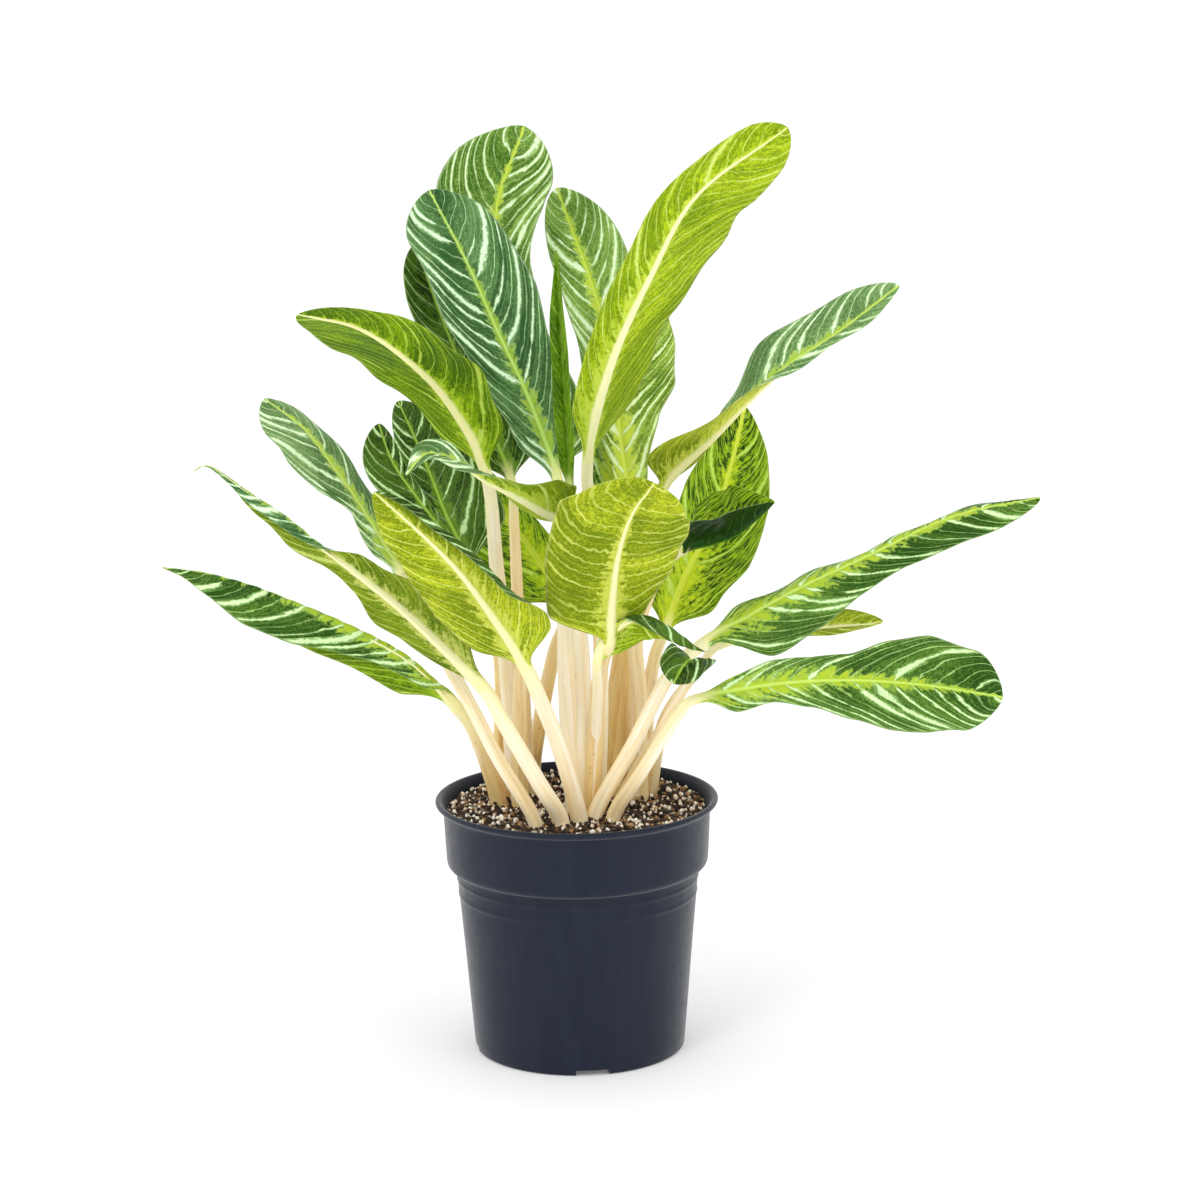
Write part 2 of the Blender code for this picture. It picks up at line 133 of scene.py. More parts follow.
def new_material(name, roughness, **settings):
    """A material with one Principled shader. Returns the material, its graph and the shader."""
    made = bpy.data.materials.new(name)
    made.use_nodes = True
    shader = made.node_tree.nodes["Principled BSDF"]
    shader.inputs["Roughness"].default_value = roughness
    for label, value in settings.items():
        shader.inputs[label.replace("_", " ")].default_value = value
    return made, Graph(made.node_tree), shader


# %% [markdown]
# ## The veins of a leaf
# On an Aglaonema leaf the side veins leave the midrib at a slant and bend towards the tip. Each is
# a fine pale line, and every second or third carries a broad white band with ragged edges. A
# picture could be stretched over the leaf, but a formula stays sharp at any size. Every point of a
# blade knows its distance along a vein, so lanes of equal width make the veins, and one random
# number for each lane decides how broad its band is.
# The group puts out masks only, so that each kind of leaf can colour them in its own way.

# %% Node group: leaf veins
VEIN_SPACING = 12.0       # mm from vein to vein, along the midrib
vein_inputs = {"Band Level": 0.5, "Line Width": 0.45, "Rib Foot": 1.5, "Rib Tip": 0.4, "Glow Width": 14.0,
               "Speckle Size": 1.0}
vein_outputs = ["Line", "Band", "Halo", "Fine", "Rib", "Glow", "Mottle", "Shade", "Edge", "Collar", "Height"]
vein_tree, given, masks = new_group("leaf_veins", vein_inputs, vein_outputs)
g = Graph(vein_tree)
across_mm, along_mm, vein_mm = g.attribute("blade_mm")
edge_share, tip_share, seed = g.attribute("blade_share")
side = g.math("SIGN", across_mm)
reach = g.math("ABSOLUTE", across_mm)
sown = g.times_plus(seed, 7.31, g.times(side, 2.7))


def vein_noise(per_mm_across_veins, per_mm_along_veins, shift=0.0):
    """Noise that is stretched along the veins of the leaf, from -0.5 to 0.5."""
    place = g.vector(g.times(vein_mm, per_mm_across_veins), g.times(reach, per_mm_along_veins),
                     g.plus(sown, shift))
    return g.minus(g.noise(place), 0.5)


def even_noise(per_mm, shift=0.0):
    """Noise of the same size in every direction, from -0.5 to 0.5."""
    place = g.vector(g.times(along_mm, per_mm), g.times(across_mm, per_mm), g.plus(sown, shift))
    return g.minus(g.noise(place, detail=4.0, roughness=0.65), 0.5)


vein = g.times_plus(vein_noise(0.05, 0.06), 9.0, vein_mm)
vein = g.times_plus(vein_noise(0.22, 0.24, shift=9.0), 4.6, vein)
lane = g.math("DIVIDE", vein, VEIN_SPACING)
lane_number = g.math("FLOOR", lane)
lane_dice = g.node("ShaderNodeTexWhiteNoise", {"Vector": g.vector(lane_number, sown, 0.5)})
dice = g.split(lane_dice.outputs["Color"])
slope = g.times_plus(g.times(edge_share, edge_share), 3.0, 0.9)
squeeze = g.math("SQRT", g.times_plus(slope, slope, 1.0))
off_lane = g.math("ABSOLUTE", g.minus(g.math("FRACT", lane), 0.5))
off_vein = g.math("DIVIDE", g.times(off_lane, VEIN_SPACING), squeeze)
teeth = even_noise(0.5, shift=2.0)

# The band: mostly on every second vein, broad in the middle, and feathered along its edges.
odd = g.math("MODULO", g.plus(lane_number, 400.0), 2.0)
favoured = g.times_plus(odd, 0.36, g.times(dice[0], 0.64))
chosen = g.step(favoured, given["Band Level"], g.plus(given["Band Level"], 0.06))
patch_place = g.vector(g.times(lane_number, 5.7), g.times(reach, 0.11), sown)
patch = g.noise(patch_place, detail=1.0)
whole = g.times(g.step(patch, 0.22, 0.55), g.step(edge_share, -0.02, 0.25))
fullness = g.times_plus(g.times(dice[1], dice[1]), 1.8, 0.7)
slimmer = g.minus(1.1, g.times(edge_share, 0.6))
band_width = g.times(g.times(chosen, whole), g.times(fullness, slimmer))
ragged = g.times_plus(teeth, g.times_plus(band_width, 2.0, 0.5), off_vein)
inside = g.times(g.step(band_width, 0.1, 0.4), g.step(edge_share, 1.0, 0.93))
band = g.times(g.step(ragged, band_width, g.times(band_width, 0.6)), inside)
halo = g.times(g.step(ragged, g.times_plus(band_width, 1.6, 0.5), band_width), inside)
g.link(band, masks["Band"])
g.link(halo, masks["Halo"])

# The fine line of every vein, strong on some and hardly there on others, and a faint one halfway.
strength = g.times(g.step(patch, 0.1, 0.5), g.times_plus(dice[2], 0.6, 0.4))
line_width = g.times(given["Line Width"], g.times_plus(dice[1], 0.7, 0.65))
frayed = g.times_plus(teeth, 0.6, off_vein)
line = g.step(frayed, line_width, g.times(line_width, 0.3))
g.link(g.times(line, strength), masks["Line"])
off_half = g.minus(g.math("DIVIDE", 0.5 * VEIN_SPACING, squeeze), off_vein)
fine = g.step(g.times_plus(teeth, 0.7, off_half), 0.45, 0.1)
g.link(g.times(fine, g.step(g.plus(dice[0], teeth), 0.2, 0.8)), masks["Fine"])

# The midrib thins out towards the tip. The flush beside it is soft and breaks up into flecks.
rib_width = g.times_plus(g.minus(given["Rib Tip"], given["Rib Foot"]),
                         g.math("POWER", g.math("MAXIMUM", tip_share, 0.0), 0.7), given["Rib Foot"])
rough_reach = g.times_plus(teeth, 0.9, reach)
g.link(g.step(rough_reach, g.times(rib_width, 1.3), g.times(rib_width, 0.6)), masks["Rib"])
taper = g.math("POWER", g.math("MAXIMUM", g.minus(1.05, tip_share), 0.0), 1.3)
glow_width = g.times_plus(given["Glow Width"], taper, 0.8)
flecks = g.plus(even_noise(0.38, shift=3.0), vein_noise(0.24, 0.10, shift=5.0))
glow_reach = g.times_plus(flecks, g.times(glow_width, 2.2), reach)
g.link(g.step(glow_reach, glow_width, 0.0), masks["Glow"])
blotch_size = g.math("DIVIDE", 0.62, given["Speckle Size"])
blotch_place = g.vector(g.times(vein_mm, blotch_size), g.times(reach, g.times(blotch_size, 0.6)),
                        g.plus(sown, 6.0))
blotches = g.noise(blotch_place, detail=4.0, roughness=0.7)
g.link(g.step(blotches, 0.46, 0.56), masks["Mottle"])

# Broad shading: clouds, and each lane a little lighter or darker than the next.
cloud = g.noise(g.vector(g.times(along_mm, 0.022), g.times(across_mm, 0.03), sown))
toned = g.times_plus(dice[2], 0.3, g.times_plus(even_noise(0.8, shift=7.0), 1.3, cloud))
g.link(g.step(toned, 0.42, 1.0), masks["Shade"])
# The edge mask is a thin line along the margin: partly the pale rim, partly a painted edge highlight.
g.link(g.step(edge_share, 0.955, 0.99), masks["Edge"])
g.link(g.times(g.step(tip_share, 0.10, -0.01), g.step(reach, 5.5, 2.5)), masks["Collar"])
swell = g.times(g.step(off_lane, 0.0, 0.4), 0.7)
g.link(g.plus(g.times_plus(band, 0.25, swell), g.times(teeth, 0.3)), masks["Height"])
print("leaf_veins:", len(vein_tree.nodes), "nodes")

# %% [markdown]
# ## Leaf surfaces
# The upper side is deep green with white bands and a yellow midrib, and it flushes lime near the
# stalk. The underside is paler and yellower, as the stripes show through the blade, and its midrib
# is a thick cream rib. The shader stays in the material and takes only its masks from the group.

# %% A material for one side of a blade
COLLAR_CREAM = (0.90, 0.86, 0.42)
FINE_SHARE, HALO_SHARE, EDGE_SHARE = 0.5, 0.75, 0.75


def blade_material(name, ground, deep, line, band, halo, fine, rib, glow, mottle, edge=None, roughness=0.4,
                   band_level=0.45, mottled=0.3, line_width=0.45, rib_foot=1.5, rib_tip=0.4,
                   glow_width=14.0, speckle=1.0, relief=0.35):
    made, g, shader = new_material(name, roughness, Specular_IOR_Level=0.10)
    veins = g.node("ShaderNodeGroup", {}, node_tree=vein_tree)
    for label, value in (("Band Level", band_level), ("Line Width", line_width), ("Rib Foot", rib_foot),
                         ("Rib Tip", rib_tip), ("Glow Width", glow_width), ("Speckle Size", speckle)):
        veins.inputs[label].default_value = value
    mask = veins.outputs
    paint = g.mix(mask["Shade"], ground, deep)
    paint = g.mix(g.times(mask["Mottle"], mottled), paint, mottle)
    paint = g.mix(g.times(mask["Fine"], FINE_SHARE), paint, fine)
    fresh = g.mix(0.4, fine, glow)
    paint = g.mix(g.times(g.step(mask["Glow"], 0.0, 0.45), 0.85), paint, fresh)
    paint = g.mix(g.times(g.step(mask["Glow"], 0.3, 1.0), 0.92), paint, glow)
    paint = g.mix(g.times(mask["Halo"], HALO_SHARE), paint, halo)
    paint = g.mix(mask["Line"], paint, line)
    paint = g.mix(mask["Band"], paint, band)
    paint = g.mix(mask["Rib"], paint, rib)
    # A thin pale line along the margin: partly the margin's own pale rim, partly a painted edge highlight.
    paint = g.mix(g.times(mask["Edge"], EDGE_SHARE), paint, edge or line)
    paint = g.mix(mask["Collar"], paint, COLLAR_CREAM)
    g.link(paint, shader.inputs["Base Color"])
    g.link(g.times_plus(mask["Band"], 0.12, roughness), shader.inputs["Roughness"])
    g.link(g.bump(mask["Height"], relief, 0.0006), shader.inputs["Normal"])
    return made


# %% [markdown]
# Each kind of leaf has its own greens, apart from the deep underside, which is painted shade. The
# ground and the deep tone shade the blade, and the mottle lies over them. The fresh glow is the flush
# beside the midrib. A high band level leaves few white bands.

# %% The greens of the upper sides and the undersides
UPPER_GREENS = {
    "striped": dict(
        ground=(0.020, 0.078, 0.004), deep=(0.130, 0.270, 0.032), line=(0.44, 0.68, 0.22),
        band=(0.70, 0.92, 0.48), halo=(0.27, 0.48, 0.13), fine=(0.22, 0.42, 0.09), rib=(0.58, 0.77, 0.15),
        glow=(0.44, 0.58, 0.03), mottle=(0.010, 0.045, 0.001), band_level=0.5, mottled=0.5, glow_width=16.0),
    "bluish": dict(
        ground=(0.030, 0.105, 0.024), deep=(0.145, 0.300, 0.090), line=(0.46, 0.68, 0.34),
        band=(0.72, 0.93, 0.64), halo=(0.30, 0.50, 0.22), fine=(0.22, 0.40, 0.14), rib=(0.54, 0.76, 0.19),
        glow=(0.36, 0.52, 0.05), mottle=(0.018, 0.070, 0.014), band_level=0.48, mottled=0.45,
        glow_width=8.0),
    "misty": dict(
        ground=(0.070, 0.165, 0.040), deep=(0.250, 0.420, 0.150), line=(0.50, 0.70, 0.34),
        band=(0.74, 0.93, 0.58), halo=(0.38, 0.57, 0.26), fine=(0.34, 0.52, 0.20), rib=(0.60, 0.76, 0.17),
        glow=(0.42, 0.58, 0.06), mottle=(0.050, 0.130, 0.024), mottled=0.4, band_level=0.44,
        glow_width=11.0),
    "sunny": dict(
        ground=(0.050, 0.145, 0.010), deep=(0.300, 0.480, 0.090), line=(0.56, 0.78, 0.36),
        band=(0.76, 0.94, 0.60), halo=(0.46, 0.66, 0.22), fine=(0.40, 0.60, 0.16), rib=(0.64, 0.79, 0.12),
        glow=(0.54, 0.67, 0.05), mottle=(0.030, 0.105, 0.006), mottled=0.4, band_level=0.35,
        glow_width=19.0),
    "golden": dict(
        ground=(0.085, 0.190, 0.008), deep=(0.420, 0.600, 0.085), line=(0.66, 0.82, 0.30),
        band=(0.82, 0.96, 0.54), halo=(0.56, 0.73, 0.20), fine=(0.52, 0.68, 0.15), rib=(0.74, 0.84, 0.14),
        glow=(0.62, 0.73, 0.06), mottle=(0.080, 0.175, 0.004), mottled=0.4, band_level=0.35,
        glow_width=17.0),
    "dark": dict(
        ground=(0.002, 0.012, 0.001), deep=(0.060, 0.135, 0.012), line=(0.38, 0.56, 0.22),
        band=(0.58, 0.80, 0.40), halo=(0.15, 0.30, 0.07), fine=(0.11, 0.23, 0.045), rib=(0.38, 0.56, 0.08),
        glow=(0.15, 0.28, 0.015), mottle=(0.125, 0.240, 0.016), band_level=0.55, glow_width=8.0, mottled=0.4,
        roughness=0.34),
    "mottled": dict(
        ground=(0.006, 0.032, 0.001), deep=(0.045, 0.120, 0.003), line=(0.46, 0.66, 0.07),
        band=(0.54, 0.74, 0.12), halo=(0.32, 0.52, 0.02), fine=(0.22, 0.40, 0.010), rib=(0.70, 0.80, 0.09),
        glow=(0.56, 0.70, 0.02), mottle=(0.33, 0.52, 0.012), band_level=0.75, mottled=0.95, glow_width=19.0,
        rib_foot=2.6, rib_tip=1.0, speckle=1.1),
    "plain": dict(
        ground=(0.050, 0.140, 0.002), deep=(0.190, 0.370, 0.008), line=(0.25, 0.42, 0.05),
        band=(0.28, 0.46, 0.06), halo=(0.20, 0.36, 0.03), fine=(0.18, 0.34, 0.02), rib=(0.28, 0.44, 0.06),
        glow=(0.18, 0.34, 0.01), mottle=(0.025, 0.085, 0.001), band_level=0.95, glow_width=5.0, mottled=0.4),
}
UNDER_GREENS = {
    "olive": dict(
        ground=(0.175, 0.250, 0.002), deep=(0.560, 0.650, 0.024), line=(0.70, 0.77, 0.16),
        band=(0.68, 0.75, 0.15), halo=(0.50, 0.58, 0.06), fine=(0.46, 0.55, 0.05), rib=(0.92, 0.89, 0.46),
        glow=(0.60, 0.66, 0.09), mottle=(0.120, 0.185, 0.002), mottled=0.55, rib_foot=3.4, rib_tip=0.2,
        glow_width=12.0, band_level=0.95, line_width=0.5),
    "moss": dict(
        ground=(0.080, 0.155, 0.002), deep=(0.280, 0.385, 0.015), line=(0.48, 0.58, 0.12),
        band=(0.52, 0.62, 0.14), halo=(0.34, 0.43, 0.05), fine=(0.34, 0.43, 0.05), rib=(0.92, 0.90, 0.50),
        glow=(0.58, 0.62, 0.14), mottle=(0.075, 0.140, 0.001), mottled=0.55, rib_foot=3.6, rib_tip=0.9,
        glow_width=9.0, band_level=0.85),
    "lime": dict(
        ground=(0.065, 0.150, 0.001), deep=(0.290, 0.480, 0.004), line=(0.44, 0.62, 0.06),
        band=(0.52, 0.68, 0.10), halo=(0.30, 0.47, 0.02), fine=(0.24, 0.40, 0.012), rib=(0.92, 0.89, 0.44),
        glow=(0.46, 0.62, 0.03), mottle=(0.035, 0.095, 0.001), mottled=0.6, rib_foot=4.0, rib_tip=0.7,
        glow_width=11.0, band_level=0.8),
    "lemon": dict(
        ground=(0.215, 0.340, 0.001), deep=(0.560, 0.720, 0.018), line=(0.62, 0.76, 0.14),
        band=(0.66, 0.79, 0.18), halo=(0.46, 0.60, 0.05), fine=(0.42, 0.57, 0.03), rib=(0.93, 0.91, 0.50),
        glow=(0.56, 0.68, 0.07), mottle=(0.085, 0.180, 0.001), mottled=0.6, rib_foot=3.8, rib_tip=0.2,
        glow_width=13.0, band_level=0.75),
    "green": dict(
        ground=(0.070, 0.160, 0.004), deep=(0.150, 0.290, 0.010), line=(0.34, 0.52, 0.10),
        band=(0.40, 0.56, 0.16), halo=(0.26, 0.42, 0.06), fine=(0.24, 0.40, 0.05), rib=(0.64, 0.72, 0.20),
        glow=(0.26, 0.44, 0.03), mottle=(0.045, 0.120, 0.003), rib_foot=2.8),
    # The deep underside is painted shade: nearly black all over, for the half of the folded leaf that lies in
    # shade.
    "deep": dict(
        ground=(0.004, 0.022, 0.001), deep=(0.016, 0.062, 0.004), line=(0.040, 0.120, 0.020),
        band=(0.040, 0.120, 0.020), halo=(0.022, 0.080, 0.010), fine=(0.030, 0.095, 0.012),
        rib=(0.080, 0.200, 0.020), glow=(0.016, 0.070, 0.006), mottle=(0.008, 0.038, 0.003),
        edge=(0.45, 0.62, 0.28), band_level=0.95, rib_foot=1.2, roughness=0.25, glow_width=5.0),
}
UNDER_SKIN = dict(roughness=0.5, relief=0.5)
UPPER_SIDES = {name: blade_material("leaf_upper_" + name, **look) for name, look in UPPER_GREENS.items()}
UNDERSIDES = {name: blade_material("leaf_under_" + name, **(UNDER_SKIN | look))
              for name, look in UNDER_GREENS.items()}
print(len(UPPER_SIDES), "upper sides and", len(UNDERSIDES), "undersides")

# %% [markdown]
# ## Stalks
# The stalks are cream. The old ones are tanned in long streaks where their sheaths dried on, and
# have a few dark specks. Near the soil they turn orange, and just under the blade yellow-green.
# Each stalk carries one number for how tanned it is.

# %% Material for the stalks
stalk_skin, g, shader = new_material("stalk_skin", 0.5)
round_x, round_y, down_mm = g.attribute("stem_mm")
_, stem_share, seed = g.attribute("blade_share")
tan = g.node("ShaderNodeAttribute", {}, attribute_name="stem_tan").outputs["Fac"]
sown = g.times(seed, 5.17)
lengthwise = g.times(down_mm, 0.012)
streak_place = g.vector(g.times_plus(round_x, 0.26, sown), g.times(round_y, 0.26), lengthwise)
streaks = g.noise(streak_place)
patch_place = g.vector(g.plus(round_x, sown), round_y, g.times(down_mm, 0.06))
patches = g.noise(patch_place, scale=0.35)
fibre_place = g.vector(g.times_plus(round_x, 1.6, sown), g.times(round_y, 1.6), lengthwise)
fibres = g.noise(fibre_place, detail=3.0)
low_down = g.step(down_mm, 75.0, 15.0)
tanned = g.times_plus(low_down, 0.22, g.times(tan, 0.85))
paint = g.mix(tanned, (1.0, 0.92, 0.72), (0.82, 0.56, 0.16))
streaked = g.times(g.step(streaks, 0.44, 0.62), g.times_plus(tan, 0.4, 0.3))
paint = g.mix(streaked, paint, (0.91, 0.70, 0.33))
# Pale cream streaks between the tanned ones: painted highlights along the stalk.
paint = g.mix(g.times(g.step(streaks, 0.46, 0.34), 0.55), paint, (1.0, 0.95, 0.83))
stained = g.times(g.step(patches, 0.54, 0.68), g.times_plus(tanned, 0.6, 0.12))
paint = g.mix(stained, paint, (0.74, 0.43, 0.12))
edges = g.times(g.step(fibres, 0.56, 0.64), g.times_plus(tan, 0.4, 0.15))
paint = g.mix(edges, paint, (0.66, 0.45, 0.20))
cell_place = g.vector(g.times_plus(round_x, 0.30, sown), g.times(round_y, 0.30), g.times(down_mm, 0.14))
cells = g.node("ShaderNodeTexVoronoi", {"Vector": cell_place, "Scale": 1.0})
speck = g.times(g.step(cells.outputs["Distance"], 0.14, 0.06), g.step(patches, 0.56, 0.60))
paint = g.mix(g.times(speck, 0.7), paint, (0.20, 0.13, 0.06))
paint = g.mix(g.times(g.step(stem_share, -0.22, 0.0), 0.75), paint, (0.90, 0.87, 0.46))
g.link(paint, shader.inputs["Base Color"])
g.link(g.bump(fibres, 0.35, 0.0004), shader.inputs["Normal"])
print("stalk_skin:", len(stalk_skin.node_tree.nodes), "nodes")


# %% [markdown]
# ## The line and the outline of a leaf
# A leaf starts as one curve: from its foot in the soil, up the stalk, and along the midrib to the
# tip. A Bezier curve could do that too. Here it is a smooth curve through listed points, because
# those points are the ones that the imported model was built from, so each leaf falls in its place.
# The outline of the blade is a row of widths, rounded off at the collar and at the tip. The lean
# moves width from one side of the midrib to the other.

# %% Curve and outline helpers
PLANTED_Z = 138.0         # the stalks go down into the soil to here
SOIL_LEVEL_Z = 155.0      # they start to lean above here
COLLAR_ROUND, COLLAR_BLUNTNESS = 0.2, 0.6
TIP_ROUND, TIP_BLUNTNESS = 0.7, 0.7
TIP_HALF_WIDTH = 0.5
PATH_STEPS, HEADING_REACH = 24, 3.0


class Path:
    """Smooth curve through a list of points, measured by its length."""

    def __init__(self, points):
        points = [Vector(p) for p in points]
        ends = [2 * points[0] - points[1]] + points + [2 * points[-1] - points[-2]]
        self.samples = [points[0]]
        self.knots = [0]
        for p0, p1, p2, p3 in zip(ends, ends[1:], ends[2:], ends[3:]):
            for step in range(1, PATH_STEPS + 1):
                t = step / PATH_STEPS
                self.samples.append(0.5 * (2 * p1 + (p2 - p0) * t + (2 * p0 - 5 * p1 + 4 * p2 - p3) * t * t
                                           + (3 * p1 - p0 - 3 * p2 + p3) * t ** 3))
            self.knots.append(len(self.samples) - 1)
        self.lengths = [0.0]
        for a, b in zip(self.samples, self.samples[1:]):
            self.lengths.append(self.lengths[-1] + (b - a).length)

    def at_knot(self, index):
        return self.lengths[self.knots[index]]

    def place(self, distance):
        for i, far in enumerate(self.lengths[1:]):
            if distance <= far:
                share = (distance - self.lengths[i]) / (far - self.lengths[i])
                return self.samples[i].lerp(self.samples[i + 1], share)
        return self.samples[-1]

    def heading(self, distance):
        behind = self.place(max(distance - HEADING_REACH, 0.0))
        return (self.place(distance + HEADING_REACH) - behind).normalized()


def smooth(value):
    value = min(max(value, 0.0), 1.0)
    return value * value * (3 - 2 * value)


def smooth_between(values, share):
    """Value at a share of the way along an evenly spaced list, with its steps rounded."""
    spot = min(max(share, 0.0), 1.0) * (len(values) - 1)
    index = min(int(spot), len(values) - 2)
    rest = spot - index
    return values[index] + (values[index + 1] - values[index]) * (0.5 * smooth(rest) + 0.5 * rest)


def half_width(leaf, share, sign):
    """Reach of the blade on one side of its midrib."""
    tip_round = leaf.get("tip", TIP_ROUND)
    to_collar = max(1 - share / leaf.get("base", COLLAR_ROUND), 0.0)
    to_tip = max((share - tip_round) / (1 - tip_round), 0.0)
    rounding = (1 - to_collar ** 2) ** COLLAR_BLUNTNESS * (1 - to_tip ** 2) ** TIP_BLUNTNESS
    lean = smooth_between(leaf.get("lean", (0,)), share)
    full = smooth_between(leaf["widths"], share) / 2 * (1 + sign * lean)
    return TIP_HALF_WIDTH + (full - TIP_HALF_WIDTH) * rounding


# %% [markdown]
# ## One closed skin for a leaf
# A blade could be a flat sheet with a Solidify modifier, and the stalk a second tube. Then they
# would meet in a seam. Instead a flat grid is wrapped round the leaf's line into one long tube. It
# is round along the stalk. Past the collar it flattens into the two sides of the blade, with the
# midrib as a ridge under it. Both ends close to a point.
# Three materials go on by place: stalk, upper side and underside.

# %% Wrap a grid into a leaf
AROUND, STALK_ROWS, BLADE_ROWS = 96, 26, 100
ROWS = STALK_ROWS + BLADE_ROWS
ROW_CROWDING = 0.07       # draws the rows of a blade together at the collar and at the tip
UPPER, UNDER, STALK = 0, 1, 2
ROUND_SHARE = 0.14        # share of the blade over which the round stalk turns flat
FOOT_SWELL, FOOT_FADE = 0.12, 22
STALK_FLATNESS, GUTTER_DEPTH, GUTTER_WIDTH = 0.86, 0.22, 0.45
BLADE_THICKNESS = 0.35    # half of it, in mm
BOW, QUILT, WAVE_LENGTH = 0.05, 0.22, 52
RIB_TIP, RIB_HEIGHT, RIB_WIDTH = 0.6, 0.95, 0.75
GROOVE_DEPTH, GROOVE_WIDTH, SHOULDER_HEIGHT, SHOULDER_PLACE = 0.5, 1.6, 0.35, 3.2
FOLD, STRAIGHT = (0.2,), (0,)


def bend_margin(leaf, reach, half, fold, curl):
    """Follow one side of a section outwards: straight along the fold, round the curl, straight on."""
    start, end = (share * half for share in leaf.get("curl_zone", (0.55, 1.0)))
    slope = atan(fold)
    before, after = min(reach, start), max(reach - end, 0.0)
    within = min(max(reach - start, 0.0), end - start)
    out, rise = before * cos(slope), before * sin(slope)
    if abs(curl) < 1:
        angle = slope
        out, rise = out + within * cos(slope), rise + within * sin(slope)
    else:
        radius = (end - start) / radians(curl)
        angle = slope + within / radius
        out, rise = out + radius * (sin(angle) - sin(slope)), rise + radius * (cos(slope) - cos(angle))
    return out + after * cos(angle), rise + after * sin(angle), angle


def leaf_section(leaf, turn, row):
    """Where a point of one section lies: across the leaf, up from its line, and its vein pattern."""
    over = turn < 0.5
    q = 1 - 4 * turn if over else 4 * turn - 3
    sign = 1 if q > 0 else -1
    radius, share, along, flat = row["radius"], row["share"], row["along"], row["flat"]
    half = row["halves"][sign > 0]
    round_x = radius * sin(pi / 2 * q)
    round_z = radius * cos(pi / 2 * q) * (1 if over else -1)
    if over and share < 0:
        round_z *= STALK_FLATNESS - GUTTER_DEPTH * exp(-(round_x / (GUTTER_WIDTH * radius)) ** 2)
    t = abs(q) ** 1.5
    x = sign * t * half
    slant, sweep = leaf.get("veins", (0.9, 1.1))
    vein = (along - half * (slant * t + sweep * t ** 3)) * leaf.get("crowding", 1.0)
    pattern, stem = (x, along, vein), (round_x, round_z)
    if flat == 0:
        return round_x, round_z, pattern, t, stem
    bow = BOW * half * 4 * t * (1 - t)
    phase = 2 * pi * along / leaf.get("wave_length", WAVE_LENGTH) + 1.9 * row["seed"] + 1.3 * sign
    wave = leaf["wave"] * t ** 2 * row["ends"] * sin(phase)
    quilt = QUILT * cos(2 * pi * vein / VEIN_SPACING) * smooth(t / 0.1) * smooth((1 - t) / 0.25) * row["ends"]
    skin = BLADE_THICKNESS * (1 - 0.75 * t ** 4) * smooth((1 - t) / 0.02)
    rib = radius * (1 - share) + RIB_TIP * share
    if over:
        shoulder = SHOULDER_HEIGHT * exp(-((abs(x) - SHOULDER_PLACE) / GROOVE_WIDTH) ** 2)
        rib_z = shoulder - GROOVE_DEPTH * exp(-(x / GROOVE_WIDTH) ** 2) + skin
    else:
        rib_z = -RIB_HEIGHT * rib * exp(-(x / (RIB_WIDTH * rib)) ** 2) - skin
    lift = bow + wave + quilt + rib_z * smooth((1 - share) / 0.1)
    out, rise, angle = bend_margin(leaf, abs(x), half, row["folds"][sign > 0], row["curls"][sign > 0])
    flat_x, flat_z = sign * (out - lift * sin(angle)), rise + lift * cos(angle)
    return round_x * (1 - flat) + flat_x * flat, round_z * (1 - flat) + flat_z * flat, pattern, t, stem


